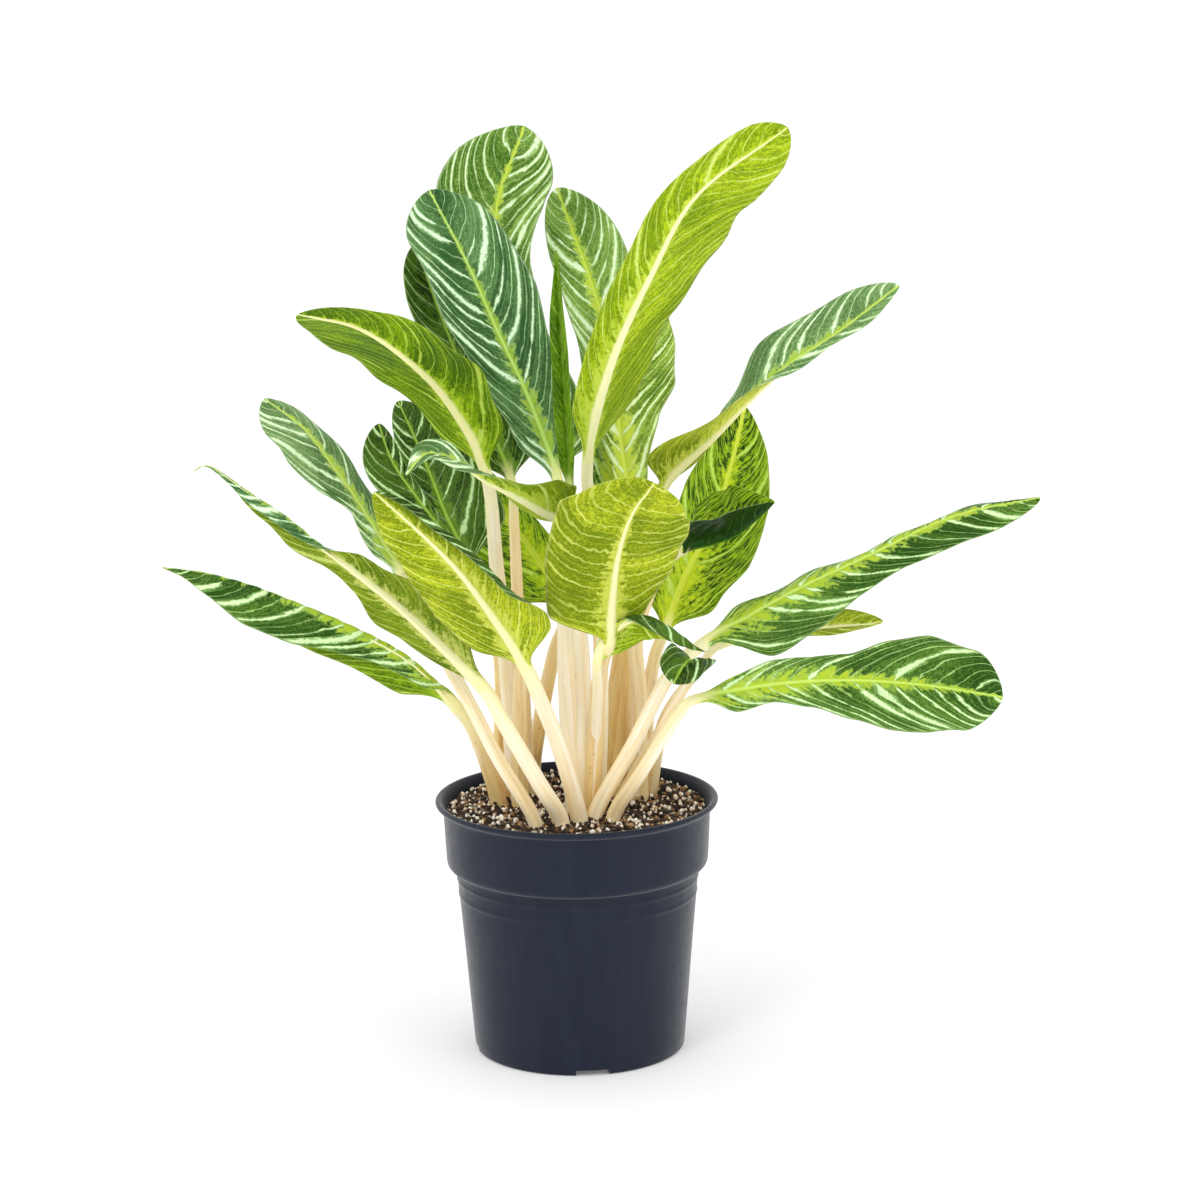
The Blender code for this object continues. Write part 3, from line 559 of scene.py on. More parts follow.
def make_leaf(name, leaf, seed):
    foot = leaf["foot"]
    path = Path([(*foot, PLANTED_Z), (*foot, SOIL_LEVEL_Z)] + leaf["stalk"] + leaf["blade"])
    collar = path.at_knot(len(leaf["stalk"]) + 2)
    length = path.lengths[-1] - collar
    faces = [Vector(f).normalized() for f in leaf["faces"]]
    first = Vector((faces[0].x, faces[0].y, 0)).normalized()
    plus_folds = leaf.get("folds", FOLD)
    folds = leaf.get("minus_folds", plus_folds), plus_folds
    curls = leaf.get("minus_curls", STRAIGHT), leaf.get("curls", STRAIGHT)

    bm = bmesh.new()
    bmesh.ops.create_grid(bm, x_segments=AROUND, y_segments=ROWS, size=0.5)
    blade_mm = bm.verts.layers.float_vector.new("blade_mm")
    blade_share = bm.verts.layers.float_vector.new("blade_share")
    stem_mm = bm.verts.layers.float_vector.new("stem_mm")
    stem_tan = bm.verts.layers.float.new("stem_tan")
    for face in bm.faces:
        middle = face.calc_center_median() + Vector((0.5, 0.5, 0))
        blade_side = UPPER if middle.x < 0.5 else UNDER
        face.material_index = STALK if middle.y < STALK_ROWS / ROWS else blade_side
        face.smooth = True

    rows = {}
    for vert in bm.verts:
        rows.setdefault(round((vert.co.y + 0.5) * ROWS), []).append(vert)
    for row, verts in rows.items():
        if row <= STALK_ROWS:
            distance = collar * row / STALK_ROWS
        else:
            w = (row - STALK_ROWS) / BLADE_ROWS
            distance = collar + length * (w - ROW_CROWDING * sin(2 * pi * w))
        share = (distance - collar) / length
        height = min(distance / collar, 1.0)
        heading = path.heading(distance)
        face = first.lerp(faces[0], height) if share < 0 else smooth_between(faces, share)
        across = heading.cross(face).normalized()
        up = across.cross(heading).normalized()
        radius = smooth_between(leaf["stem"], height) * (1 + FOOT_SWELL * exp(-distance / FOOT_FADE))
        centre = path.place(distance)
        closing = 0.0 if row in (0, ROWS) else 1.0
        measures = dict(radius=radius, share=share, seed=seed, along=distance - collar,
                        halves=[half_width(leaf, max(share, 0.0), side) for side in (-1, 1)],
                        folds=[smooth_between(values, share) for values in folds],
                        curls=[smooth_between(values, share) for values in curls],
                        flat=smooth(share / leaf.get("flatten", ROUND_SHARE)),
                        ends=sin(pi * min(max(share, 0.0), 1.0)) ** 0.5)
        for vert in verts:
            x, z, pattern, t, stem = leaf_section(leaf, vert.co.x + 0.5, measures)
            vert[blade_mm] = pattern
            vert[blade_share] = (t, share, seed)
            vert[stem_mm] = (*stem, distance)
            vert[stem_tan] = leaf.get("tan", 0.3)
            vert.co = (centre + (across * x + up * z) * closing) * MM
    bmesh.ops.remove_doubles(bm, verts=bm.verts, dist=1e-7)
    bmesh.ops.recalc_face_normals(bm, faces=bm.faces)
    looks = [UPPER_SIDES[leaf.get("upper", "striped")], UNDERSIDES[leaf.get("under", "green")], stalk_skin]
    add_piece("dressed_" + name, bm, looks, replaces=name)


def new_object(name, bm, looks=()):
    """Turn a bmesh into an object of the scene, with its materials."""
    mesh = bpy.data.meshes.new(name)
    bm.to_mesh(mesh)
    bm.free()
    for look in looks:
        mesh.materials.append(look)
    made = bpy.data.objects.new(name, mesh)
    bpy.context.scene.collection.objects.link(made)
    return made


def add_piece(name, bm, looks, replaces=None):
    """Make a piece that rides on the plant and has its finish slot."""
    piece = new_object(name, bm, looks)
    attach(piece, "root")
    if replaces:
        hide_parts(replaces)
    return piece


# %% [markdown]
# ## The leaves
# Each entry lists one leaf: where its stalk is planted, the points that its line passes, the
# widths of its blade, how far its margins fold up or curl over, and where its upper side looks.
# The lists run from the collar to the tip, and one value stands for the whole leaf. Tip and base
# say where the blade starts to round off. Crowding brings the veins closer together.
# The middle clump comes first. Its three tall leaves lean back, while the front ones show their
# undersides.

# %% Leaves of the middle clump
MIDDLE_LEAVES = {
    "leaf_new_spear": dict(
        foot=(8, -14), stem=(3.4, 3.2, 2.4), tan=0.1, upper="plain", wave=0.4,
        stalk=[(6, -18, 205), (3, -28, 261), (0, -34, 302)],
        blade=[(-1, -39, 347), (-4, -33, 416), (-7, -21, 487)],
        widths=[12, 15, 14, 6],
        folds=[0.9], faces=[(-0.3, -1, 0), (-0.5, -1, 0)]),
    "leaf_back_tall": dict(
        foot=(5, -12.6), stem=(4.0, 4.0, 3.2), upper="sunny", wave=1.6, flatten=0.08,
        stalk=[(4, -12, 205), (0, -9, 260), (-6, 6, 314)],
        blade=[(-9, 24, 348), (-22, 60, 394), (-38, 90, 443), (-44, 115, 495), (-26, 128, 545)],
        widths=[46, 46, 48, 54, 68, 56], lean=[0.3, 0.1, -0.25, -0.3, -0.16, 0.1], tip=0.86, base=0.08,
        faces=[(0.2, -0.9, 0.3), (0.1, -1, 0.2)]),
    "leaf_left_tall": dict(
        foot=(2, -23), stem=(8.0, 9.4, 9.8, 6.5, 3.2), tan=0.0, upper="bluish", wave=1.4,
        stalk=[(0, -24, 205), (-1, -27, 258), (-5, -27, 312)],
        blade=[(-8, -24, 350), (-24, 0, 395), (-43, 25, 434), (-61, 45, 473), (-83, 68, 513)],
        widths=[24, 30, 49, 60, 54, 44], lean=[-0.3, -0.21, 0.05, 0.08, 0.03, -0.2], tip=0.86,
        folds=[0.2, 0.15], faces=[(0.1, -0.9, 0.4), (0.1, -1, 0.3)]),
    "leaf_right_lime": dict(
        foot=(13, -17), stem=(4.0, 4.4, 4.0, 3.4), tan=0.1, under="lemon", wave=1.2,
        stalk=[(15, -20, 205), (15, -25, 258), (12, -38, 317)],
        blade=[(9, -50, 368), (23, -69, 427), (45, -84, 478), (72, -96, 526), (122, -103, 563)],
        widths=[60, 56, 53, 60, 46, 30], lean=[-0.6, -0.45, -0.32, -0.4, -0.35, -0.15], tip=0.92, base=0.12,
        folds=[0.5, 0.3, 0.1], faces=[(-0.5, 0.8, 0.4), (-0.4, 0.85, 0.35), (-0.1, 0.9, 0.3)]),
    "leaf_front_arch": dict(
        foot=(-1.4, -23.7), stem=(3.6, 3.4, 2.8), tan=0.1, upper="misty", under="lemon", wave=1.2,
        stalk=[(-2, -29, 205), (-4, -48, 263), (-1, -66, 308)],
        blade=[(-4, -75, 334), (-19, -89, 347), (-34, -101, 359), (-49, -114, 370), (-63, -124, 382),
               (-80, -130, 388), (-92, -135, 377)],
        widths=[24, 32, 34, 30, 28, 27, 22, 10], lean=[-0.6, -0.6, -0.5, -0.28, -0.25, -0.1, 0.05, -0.1],
        tip=0.8, base=0.16,
        faces=[(0.3, 0.9, 0.2), (0.3, 0.85, 0.3), (0.2, 0.1, 1), (-0.1, -0.4, 0.9), (-0.4, -0.6, 0.8)]),
    "leaf_front_cup": dict(
        foot=(9, -28), stem=(4.6, 5.0, 4.6, 3.6), tan=0.8, upper="dark", under="olive", wave=1.6,
        wave_length=34, veins=(-0.15, 0.55), crowding=1.4,
        stalk=[(12, -34, 206), (15, -54, 246)],
        blade=[(20, -82, 268), (22, -93, 296), (24, -104, 316), (27, -112, 332), (31, -118, 345),
               (36, -124, 356), (41, -128, 363), (46, -131, 370)],
        widths=[36, 46, 57, 64, 69, 74, 76, 76, 77, 65, 48, 22],
        lean=[0.44, 0.43, 0.3, 0.19, 0.13, 0.1, 0.07, 0.07, 0.06, -0.06, -0.17, -0.27], tip=0.97, base=0.07,
        folds=[0.1], faces=[(-0.1, 0.95, 0.2), (-0.1, 0.95, 0.3)]),
    "leaf_front_rolled": dict(
        foot=(11.4, -23.7), stem=(3.6, 3.4, 2.8), tan=0.2, upper="dark", under="lemon", wave=0.8,
        stalk=[(12, -36, 205), (13, -58, 235)],
        blade=[(13, -75, 255), (17, -80, 268), (24, -84, 276), (31, -89, 282), (38, -94, 284),
               (47, -97, 281), (56, -96, 275), (65, -94, 269), (75, -92, 264)],
        widths=[11, 17, 22, 27, 15, 7], lean=[-0.45, -0.65, -0.55, 0.11, 0.7, 0.7], base=0.12,
        folds=[0.1], curls=[0, 0, -60, -300, -330, -330], curl_zone=(0.05, 1.0), faces=[(0.1, 0.9, 0.3)]),
}
print(len(MIDDLE_LEAVES), "leaves listed")

# %% [markdown]
# The right clump holds a broad mottled leaf, a leaf that twists half round on its way out, and one
# that is folded nearly shut.

# %% Leaves of the right clump
RIGHT_LEAVES = {
    "leaf_right_oval": dict(
        foot=(41, 30), stem=(5.6, 4.8, 3.4), tan=0.4, upper="mottled", wave=1.8,
        stalk=[(43, 27, 199), (48, 24, 233)],
        blade=[(54, 20, 251), (67, 32, 282), (84, 43, 312), (96, 54, 345), (105, 63, 380)],
        widths=[46, 50, 58, 54, 42, 30], lean=[-0.1, 0.0, 0.1, 0.1, 0.1, 0.15],
        faces=[(0.1, -0.9, 0.3), (0.1, -1, 0.3)]),
    "leaf_right_twist": dict(
        foot=(24, 17), stem=(7.6, 7.8, 6.0, 3.6), tan=1.0, upper="misty", under="olive", wave=1.5,
        flatten=0.08,
        stalk=[(26, 18, 208), (34, 8, 264), (47, -6, 310)],
        blade=[(53, -9, 344), (84, -24, 379), (119, -24, 413), (157, -16, 437), (192, -9, 462)],
        widths=[54, 56, 50, 38, 30, 26, 23], lean=[0, -0.05, -0.18, -0.35, -0.4, -0.3, -0.3], tip=0.8,
        base=0.14,
        folds=[0.3], faces=[(-0.5, 0.7, 0.5), (-0.6, 0.2, 0.8), (-0.5, -0.7, 0.5), (-0.4, -0.9, 0.3)]),
    # Its deep underside is painted shade for the shaded half of the fold.
    "leaf_right_folded": dict(
        foot=(37, 8), stem=(6.4, 5.4, 4.2, 3.2), tan=0.55, upper="mottled", under="deep", wave=0.5,
        stalk=[(38, 2, 214), (37, -10, 256), (50, -18, 295)],
        blade=[(64, -24, 310), (81, -33, 316), (97, -42, 324), (117, -54, 343)],
        widths=[46, 56, 50, 26], lean=[-0.1, -0.1, -0.1, 0],
        folds=[2.4, 2.6, 2.6], minus_folds=[0.6], faces=[(0, -0.5, 0.9), (-0.2, -0.5, 0.9)]),
    "leaf_back_right": dict(
        foot=(22, 31), stem=(6.4, 5.2, 3.2), tan=0.8, upper="golden", wave=1.6, flatten=0.08,
        stalk=[(28, 36, 206), (38, 51, 281)],
        blade=[(37, 54, 312), (32, 66, 344), (29, 80, 375), (33, 94, 400), (41, 104, 420), (53, 120, 447)],
        widths=[12, 22, 36, 46, 42, 28], lean=[0.1, 0.25, 0.35, 0.42, 0.25, 0.1], base=0.12,
        faces=[(0.1, -0.9, 0.4), (0.2, -0.9, 0.3)]),
    "leaf_back_center": dict(
        foot=(16, 50), stem=(5.0, 4.4, 3.0), tan=0.6, upper="sunny", wave=1.6, flatten=0.08,
        stalk=[(15, 54, 201), (19, 75, 279)],
        blade=[(23, 79, 305), (27, 87, 350), (26, 100, 385), (21, 121, 423), (8, 147, 463), (-7, 174, 502)],
        widths=[36, 34, 36, 42, 48, 48, 50], lean=[-0.1, 0, 0.05, 0.1, 0.15, 0.15, 0.1], tip=0.75, base=0.12,
        faces=[(0, -0.9, 0.4)]),
    "leaf_right_hidden": dict(
        foot=(45, 19), stem=(4.6, 3.8, 2.4), tan=0.4, under="olive", wave=1.0,
        stalk=[(54, 10, 200), (75, 7, 231)],
        blade=[(88, 8, 245), (136, 18, 252), (186, 24, 254)],
        widths=[20, 23, 25, 24],
        faces=[(0.1, 0.7, 0.6)]),
}
print(len(RIGHT_LEAVES), "leaves listed")

# %% [markdown]
# The oldest leaves grow low on stalks that lean out over the rim, and their blades reach out sideways.

# %% Low leaves
LOW_LEAVES = {
    "leaf_right_long": dict(
        foot=(11, -38), stem=(4.5, 4.5, 4.3, 3.8), tan=0.2, wave=1.6,
        stalk=[(32, -44, 195), (55, -44, 239)],
        blade=[(76, -39, 257), (125, -27, 283), (175, -12, 303), (225, 0, 323), (278, 9, 332)],
        widths=[55, 51, 43, 34, 25, 28, 30, 28], lean=[0.13, 0.22, 0.35, 0.24, 0.36, 0.4, 0.12, 0.05],
        tip=0.8,
        folds=[-0.4, -0.5], faces=[(0, -0.5, 0.9), (-0.2, -0.4, 0.9)]),
    "leaf_right_low": dict(
        foot=(22, -42), stem=(4.1, 4.1, 3.7, 3.0), tan=0.35, wave=1.8,
        stalk=[(38, -56, 184), (50, -61, 205), (61, -67, 223)],
        blade=[(70, -70, 231), (114, -78, 241), (158, -79, 243), (202, -77, 239), (247, -76, 231)],
        widths=[24, 24, 27, 30, 42, 54, 60, 50, 42], lean=[0.3, 0.25, -0.1, 0.06, 0.22, 0.1, 0, 0, -0.1],
        tip=0.88,
        folds=[0.1], faces=[(0, -0.8, 0.6), (0, -0.85, 0.5)]),
    "leaf_right_crumpled": dict(
        foot=(24, -28), stem=(4.4, 3.8, 2.4), tan=0.4, upper="dark", wave=1.5,
        stalk=[(50, -38, 204), (64, -54, 235)],
        blade=[(67, -66, 247), (67, -80, 257), (62, -92, 256), (56, -98, 247)],
        widths=[26, 28, 28, 24], tip=0.8,
        folds=[0.3], faces=[(0.2, 0.3, 0.9), (0, -0.7, 0.7), (-0.2, -0.9, 0.3)]),
    "leaf_left_front": dict(
        foot=(1, -42), stem=(5.0, 4.8, 4.6, 4.2), tan=0.15, upper="dark", under="olive", wave=1.2,
        stalk=[(-9, -58, 198), (-19, -74, 230)],
        blade=[(-28, -90, 256), (-45, -106, 288), (-64, -122, 319), (-86, -129, 344), (-110, -136, 368)],
        widths=[38, 52, 50, 42, 32, 22], lean=[-0.3, -0.12, 0.12, 0.2, 0.15, 0.1], tip=0.8,
        folds=[0.1], minus_curls=[0, -40, -100, -140, -165, -165], curl_zone=(0.62, 0.78),
        faces=[(0.1, 0.9, 0.2), (-0.3, 0.9, 0.1)]),
    "leaf_left_curled": dict(
        foot=(-10, -49), stem=(4.8, 4.8, 4.6, 4.2), tan=0.1, upper="bluish", under="moss", wave=1.0,
        stalk=[(-21, -60, 178), (-42, -68, 219)],
        blade=[(-53, -68, 239), (-77, -78, 267), (-99, -86, 291), (-121, -91, 311), (-142, -94, 329),
               (-163, -94, 347), (-182, -92, 360), (-198, -90, 372), (-207, -88, 376), (-215, -87, 372)],
        widths=[18, 24, 34, 38, 24, 16, 22, 17, 7, 2],
        lean=[-0.1, -0.14, -0.12, 0.03, -0.05, 0.4, 0.18, -0.05, 0], tip=0.85,
        folds=[0.1], minus_curls=[0, 0, 0, 0, 0, -120, -160, -160, -150], curl_zone=(0.04, 0.18),
        faces=[(0.1, 0.9, 0.2), (0.1, 0.9, 0.3)]),
    "leaf_left_upper": dict(
        foot=(-25, -50), stem=(4.2, 4.2, 4.0, 3.4), tan=0.25, upper="misty", wave=1.4,
        stalk=[(-45, -50, 191), (-62, -45, 225), (-85, -24, 264)],
        blade=[(-102, -2, 292), (-122, 17, 324), (-140, 29, 349), (-159, 40, 373), (-184, 51, 391)],
        widths=[26, 26, 30, 38, 46, 40, 38], lean=[0, 0.1, 0.3, -0.1, -0.25, -0.3, -0.3], tip=0.8,
        folds=[-0.1], faces=[(0.6, -0.5, 0.6)]),
    "leaf_left_low": dict(
        foot=(-47, 2), stem=(6.2, 5.2, 4.4, 4.0), tan=0.8, under="lime", wave=0.8, veins=(0.8, 0.8),
        stalk=[(-60, -15, 199)],
        blade=[(-70, -22, 216), (-84, -30, 236), (-103, -37, 254), (-131, -46, 271), (-159, -50, 284),
               (-188, -50, 296), (-214, -46, 304), (-239, -42, 308)],
        widths=[20, 36, 42, 46, 52, 48, 32, 10], lean=[0.4, 0.4, 0.3, 0.15, 0, -0.05, -0.05, -0.1],
        folds=[0.1], minus_curls=[0, -150, -165, -165, -160, -150, -120], curl_zone=(0.04, 0.16),
        faces=[(0.1, 0.9, 0.3), (0.1, 0.9, 0.3), (0.1, 0.9, 0.2)]),
}
print(len(LOW_LEAVES), "leaves listed")

# %% [markdown]
# The left clump is darker and stands further back, apart from the lime leaf that bends forward.

# %% Leaves of the left clump
LEFT_LEAVES = {
    "leaf_left_lime": dict(
        foot=(-37, 8), stem=(5.4, 5.0, 4.4, 3.6), tan=0.2, under="lime", wave=1.8,
        stalk=[(-41, 2, 243), (-45, -18, 299)],
        blade=[(-50, -36, 360), (-70, -54, 404), (-92, -84, 434), (-119, -106, 456), (-150, -126, 466)],
        widths=[35, 47, 66, 66, 54, 40], lean=[-0.04, -0.03, 0.06, 0.15, 0.3, 0.24], tip=0.75,
        folds=[0.15], faces=[(0.3, 0.8, 0.5), (0.3, 0.7, 0.6)]),
    "leaf_left_inner": dict(
        foot=(-34, -6), stem=(5.4, 4.6, 3.0), tan=0.7, upper="dark", wave=1.4,
        stalk=[(-32, -30, 236)],
        blade=[(-27, -48, 275), (-54, -50, 301), (-75, -50, 328), (-92, -44, 350), (-104, -36, 367),
               (-112, -27, 388)],
        widths=[12, 14, 18, 22, 26, 26], lean=[-0.9, -0.8, -0.75, -0.6, -0.5, -0.4], tip=0.8,
        faces=[(0.5, -0.8, 0.3), (0.3, -0.9, 0.3)]),
    "leaf_left_dark": dict(
        foot=(-46, 20), stem=(6.0, 5.4, 3.4), tan=0.9, upper="dark", wave=1.4,
        stalk=[(-44, 24, 235)],
        blade=[(-62, 34, 290), (-76, 46, 318), (-86, 62, 341), (-96, 79, 362), (-106, 96, 381)],
        widths=[50, 54, 56, 50, 36, 30], lean=[0.25, 0.25, 0.24, 0.24, 0.25, 0.2],
        faces=[(0.2, -0.9, 0.3)]),
    "leaf_left_back": dict(
        foot=(-30, 22), stem=(5.4, 5.0, 3.6, 2.8), tan=0.6, upper="dark", wave=1.4, flatten=0.08,
        stalk=[(-33, 27, 237), (-34, 18, 285), (-35, 14, 323)],
        blade=[(-36, 14, 345), (-50, 24, 380), (-66, 39, 413), (-80, 58, 446), (-92, 75, 480)],
        widths=[30, 38, 42, 42, 42, 42], lean=[0.2, 0.35, 0.4, 0.3, 0.1, 0.0], base=0.12,
        faces=[(0.2, -0.9, 0.3)]),
    "leaf_back_left": dict(
        foot=(-27, 60), stem=(5.2, 4.6, 3.4), tan=0.75, upper="mottled", wave=1.4, flatten=0.08,
        stalk=[(-24, 52, 178), (-13, 62, 228)],
        blade=[(-6, 72, 256), (-31, 104, 292), (-58, 134, 318), (-83, 164, 339)],
        widths=[56, 66, 60, 40], lean=[-0.3, -0.55, -0.55, -0.4], base=0.12,
        faces=[(0.2, -0.9, 0.4)]),
}
print(len(LEFT_LEAVES), "leaves listed")

# %% Make every leaf
plant = MIDDLE_LEAVES | RIGHT_LEAVES | LOW_LEAVES | LEFT_LEAVES
for seed, (name, leaf) in enumerate(plant.items()):
    make_leaf(name, leaf, seed)
print(len(plant), "leaves made")

# %% [markdown]
# ## The nursery pot
# It is one thin moulding: a rolled bead round the rim, a deep collar, a soft shoulder, two fine
# raised rings and a tapered body with four drain slots at its foot. Turning a drawn profile round
# the middle is how such a mould is made, so the pot is a spin. The slots are cut with a Boolean,
# because they don't follow the turn.

# %% Pot profile and spin
PROFILE_OUTSIDE = [
    (0, 2.4), (50, 2.4), (54, 0.6), (56, 0.0), (61.6, 0.0), (63.0, 0.5), (63.6, 1.8),
    (66.0, 30.0), (68.4, 60.0), (70.9, 88.0), (71.6, 96.2), (72.05, 96.9), (72.1, 98.0), (71.85, 98.8),
    (72.4, 105.4), (72.9, 106.2), (72.95, 107.3), (72.75, 108.2), (73.4, 112.0), (74.2, 112.9), (76.2, 113.7),
    (77.9, 115.0), (78.6, 116.9), (78.8, 119.4), (79.4, 130.0), (80.1, 147.0), (80.7, 149.6),
    (81.8, 150.6), (83.4, 151.2), (84.6, 152.2), (85.0, 153.2), (84.8, 154.2), (83.9, 154.9), (82.9, 155.0),
    (81.9, 154.6), (81.0, 153.4), (80.2, 151.2), (79.3, 147.0),
]
PROFILE_INSIDE = [(78.6, 140.0), (77.4, 118.0), (76.2, 116.2), (72.4, 114.0), (71.0, 106.0), (69.3, 88.0),
                  (64.6, 32.0), (62.2, 6.0), (60.8, 4.2), (0, 4.2)]
POT_STEPS, SOIL_STEPS = 160, 150
SLOT_COUNT, SLOT_TURN, SLOT_RADIUS = 4, 6.5, 60.0
SLOT_WIDTH, SLOT_DEPTH, SLOT_HEIGHT, SLOT_ROUND = 20.0, 17.0, 3.6, 0.8


def spin_profile(points, steps):
    """Turn a profile of (radius, z) round the upright axis into a closed shell."""
    bm = bmesh.new()
    verts = [bm.verts.new((radius * MM, 0, z * MM)) for radius, z in points]
    edges = [bm.edges.new(pair) for pair in zip(verts, verts[1:])]
    bmesh.ops.spin(bm, geom=verts + edges, axis=(0, 0, 1), cent=(0, 0, 0), angle=2 * pi, steps=steps,
                   use_merge=True, use_duplicate=False)
    bmesh.ops.remove_doubles(bm, verts=bm.verts, dist=1e-6)
    bmesh.ops.recalc_face_normals(bm, faces=bm.faces)
    for face in bm.faces:
        face.smooth = True
    return bm


def soften(points):
    """Cut the corners of a profile, so that it bends gently."""
    cut = [points[0]]
    for a, b in zip(points, points[1:]):
        cut.append((a[0] * 0.75 + b[0] * 0.25, a[1] * 0.75 + b[1] * 0.25))
        cut.append((a[0] * 0.25 + b[0] * 0.75, a[1] * 0.25 + b[1] * 0.75))
    return cut + [points[-1]]


pot_bm = spin_profile(soften(PROFILE_OUTSIDE + PROFILE_INSIDE), POT_STEPS)

slots_bm = bmesh.new()
for turn in range(SLOT_COUNT):
    made = bmesh.ops.create_cube(slots_bm, size=1.0)["verts"]
    bmesh.ops.scale(slots_bm, verts=made, vec=(SLOT_WIDTH * MM, SLOT_DEPTH * MM, 2 * SLOT_HEIGHT * MM))
    bmesh.ops.translate(slots_bm, verts=made, vec=(0, -SLOT_RADIUS * MM, 0))
    bmesh.ops.rotate(slots_bm, verts=made, cent=(0, 0, 0),
                     matrix=Matrix.Rotation(radians(SLOT_TURN + turn * 360 / SLOT_COUNT), 3, "Z"))
bmesh.ops.bevel(slots_bm, geom=slots_bm.edges[:], offset=SLOT_ROUND * MM, offset_type="OFFSET", segments=3,
                profile=0.5, affect="EDGES", material=-1)
print("pot:", len(pot_bm.faces), "faces before the slots are cut")

# %% [markdown]
# The plastic is satin and nearly black with a blue cast. A plain dark grey would look like rubber,
# so faint upright flow streaks, a little dust and a fine grain break up the sheen.

# %% Pot plastic, and cutting the slots
pot_plastic, g, shader = new_material("pot_plastic", 0.42, Specular_IOR_Level=0.2, Sheen_Weight=0.3,
                                      Sheen_Roughness=0.35)
place = g.object_place()
stretched = g.node("ShaderNodeMapping", {"Vector": place, "Scale": (90.0, 90.0, 9.0)}).outputs[0]
flow = g.noise(stretched, detail=4.0, roughness=0.6)
dust = g.noise(place, scale=160.0, detail=5.0, roughness=0.7)
grain = g.noise(place, scale=2600.0)
paint = g.mix(g.step(flow, 0.35, 0.7), (0.0056, 0.0104, 0.0243), (0.0090, 0.0146, 0.0297))
paint = g.mix(g.times(g.step(dust, 0.55, 0.8), 0.25), paint, (0.030, 0.036, 0.052))
g.link(paint, shader.inputs["Base Color"])
g.link(g.times_plus(g.step(dust, 0.4, 0.8), 0.16, 0.40), shader.inputs["Roughness"])
relief = g.times_plus(flow, 0.6, g.times(grain, 0.4))
g.link(g.bump(relief, 0.16, 0.0004), shader.inputs["Normal"])

pot = add_piece("nursery_pot", pot_bm, [pot_plastic], replaces="pot")
slot_shape = new_object("drain_slots", slots_bm)
cut = pot.modifiers.new("drain slots", "BOOLEAN")
cut.operation, cut.solver, cut.object = "DIFFERENCE", "EXACT", slot_shape
bpy.context.view_layer.update()
cut_mesh = bpy.data.meshes.new_from_object(pot.evaluated_get(bpy.context.evaluated_depsgraph_get()))
pot.modifiers.clear()
pot.data = cut_mesh
cut_mesh.name = "nursery_pot"
bpy.data.objects.remove(slot_shape)
cut_mesh.set_sharp_from_angle(angle=radians(38))
print("pot:", len(cut_mesh.polygons), "faces")

# %% [markdown]
# ## Potting soil
# The soil is a mix of dark peat, bark and white perlite. Its body is a spin with a bumpy top. The
# grains that show are real small shapes, strewn with a fixed seed: rounded white grains, brown
# crumbs and flat chips of bark. Each has only a few faces, because there are hundreds of them.

# %% Soil body
SOIL_EDGE_Z, SOIL_RISE, SOIL_RADIUS, SOIL_SLOPE = 148.3, 2.2, 78, 12
LUMPY_ABOVE, LUMPY_WITHIN = 0.147, 0.0775


def soil_top(radius):
    """Height of the soil, which sinks a little towards the wall of the pot."""
    return SOIL_EDGE_Z + SOIL_RISE * smooth((SOIL_RADIUS - radius) / SOIL_SLOPE)


def soil_lumps(spot):
    return (noise.noise(spot * 160) * 1.5 + noise.noise(spot * 420) * 1.1) * MM


soil_profile = [(0, 4.8), (60, 4.8), (64.4, 33), (69.0, 88), (70.8, 107), (76.0, 118.5), (77.9, 142),
                (78.1, 147.5)]
soil_profile += [(radius, soil_top(radius)) for radius in range(76, 0, -2)]
soil_profile += [(0, 150.5)]
soil_bm = spin_profile(soil_profile, SOIL_STEPS)
for vert in soil_bm.verts:
    if vert.co.z > LUMPY_ABOVE and vert.co.xy.length < LUMPY_WITHIN:
        vert.co.z += soil_lumps(vert.co)
bmesh.ops.recalc_face_normals(soil_bm, faces=soil_bm.faces)

potting_soil, g, shader = new_material("potting_soil", 0.92)
place = g.object_place()
crumbs = g.noise(place, scale=700.0, detail=5.0, roughness=0.7)
cells = g.node("ShaderNodeTexVoronoi", {"Vector": place, "Scale": 420.0})
tone = g.split(cells.outputs["Color"])
paint = g.mix(g.step(crumbs, 0.35, 0.7), (0.008, 0.004, 0.002), (0.060, 0.028, 0.011))
paint = g.mix(g.times(g.step(tone[0], 0.72, 0.80), 0.8), paint, (0.23, 0.115, 0.042))
paint = g.mix(g.times(g.step(tone[1], 0.86, 0.90), 0.8), paint, (0.62, 0.54, 0.42))
g.link(paint, shader.inputs["Base Color"])
relief = g.minus(crumbs, g.times(cells.outputs["Distance"], 0.8))
g.link(g.bump(relief, 0.9, 0.0012), shader.inputs["Normal"])
add_piece("soil_bed", soil_bm, [potting_soil], replaces="soil")
print("soil:", len(soil_profile), "points in the profile")

# %% Strewn grains
STREWN_RADIUS = 76.5
GRAIN_SEED = 41
grain_picker = Random(GRAIN_SEED)
noise.seed_set(GRAIN_SEED)        # for the dents in the grains


def strewn_place(clumped):
    """A place on top of the soil. Clumped grains leave parts of the bed bare."""
    while True:
        radius = STREWN_RADIUS * sqrt(grain_picker.random())
        turn = 2 * pi * grain_picker.random()
        spot = Vector((radius * cos(turn), radius * sin(turn), 0)) * MM
        bar = clumped * grain_picker.uniform(-0.6, 0.9)
        if clumped == 0 or noise.noise(spot * 55) + 0.5 * noise.noise(spot * 150) > bar:
            break
    spot.z = soil_top(radius) * MM
    spot.z += soil_lumps(spot)
    return spot


def random_turn():
    return Matrix.Rotation(2 * pi * grain_picker.random(), 3, "Z") @ Matrix.Rotation(
        pi * grain_picker.random(), 3, "X")


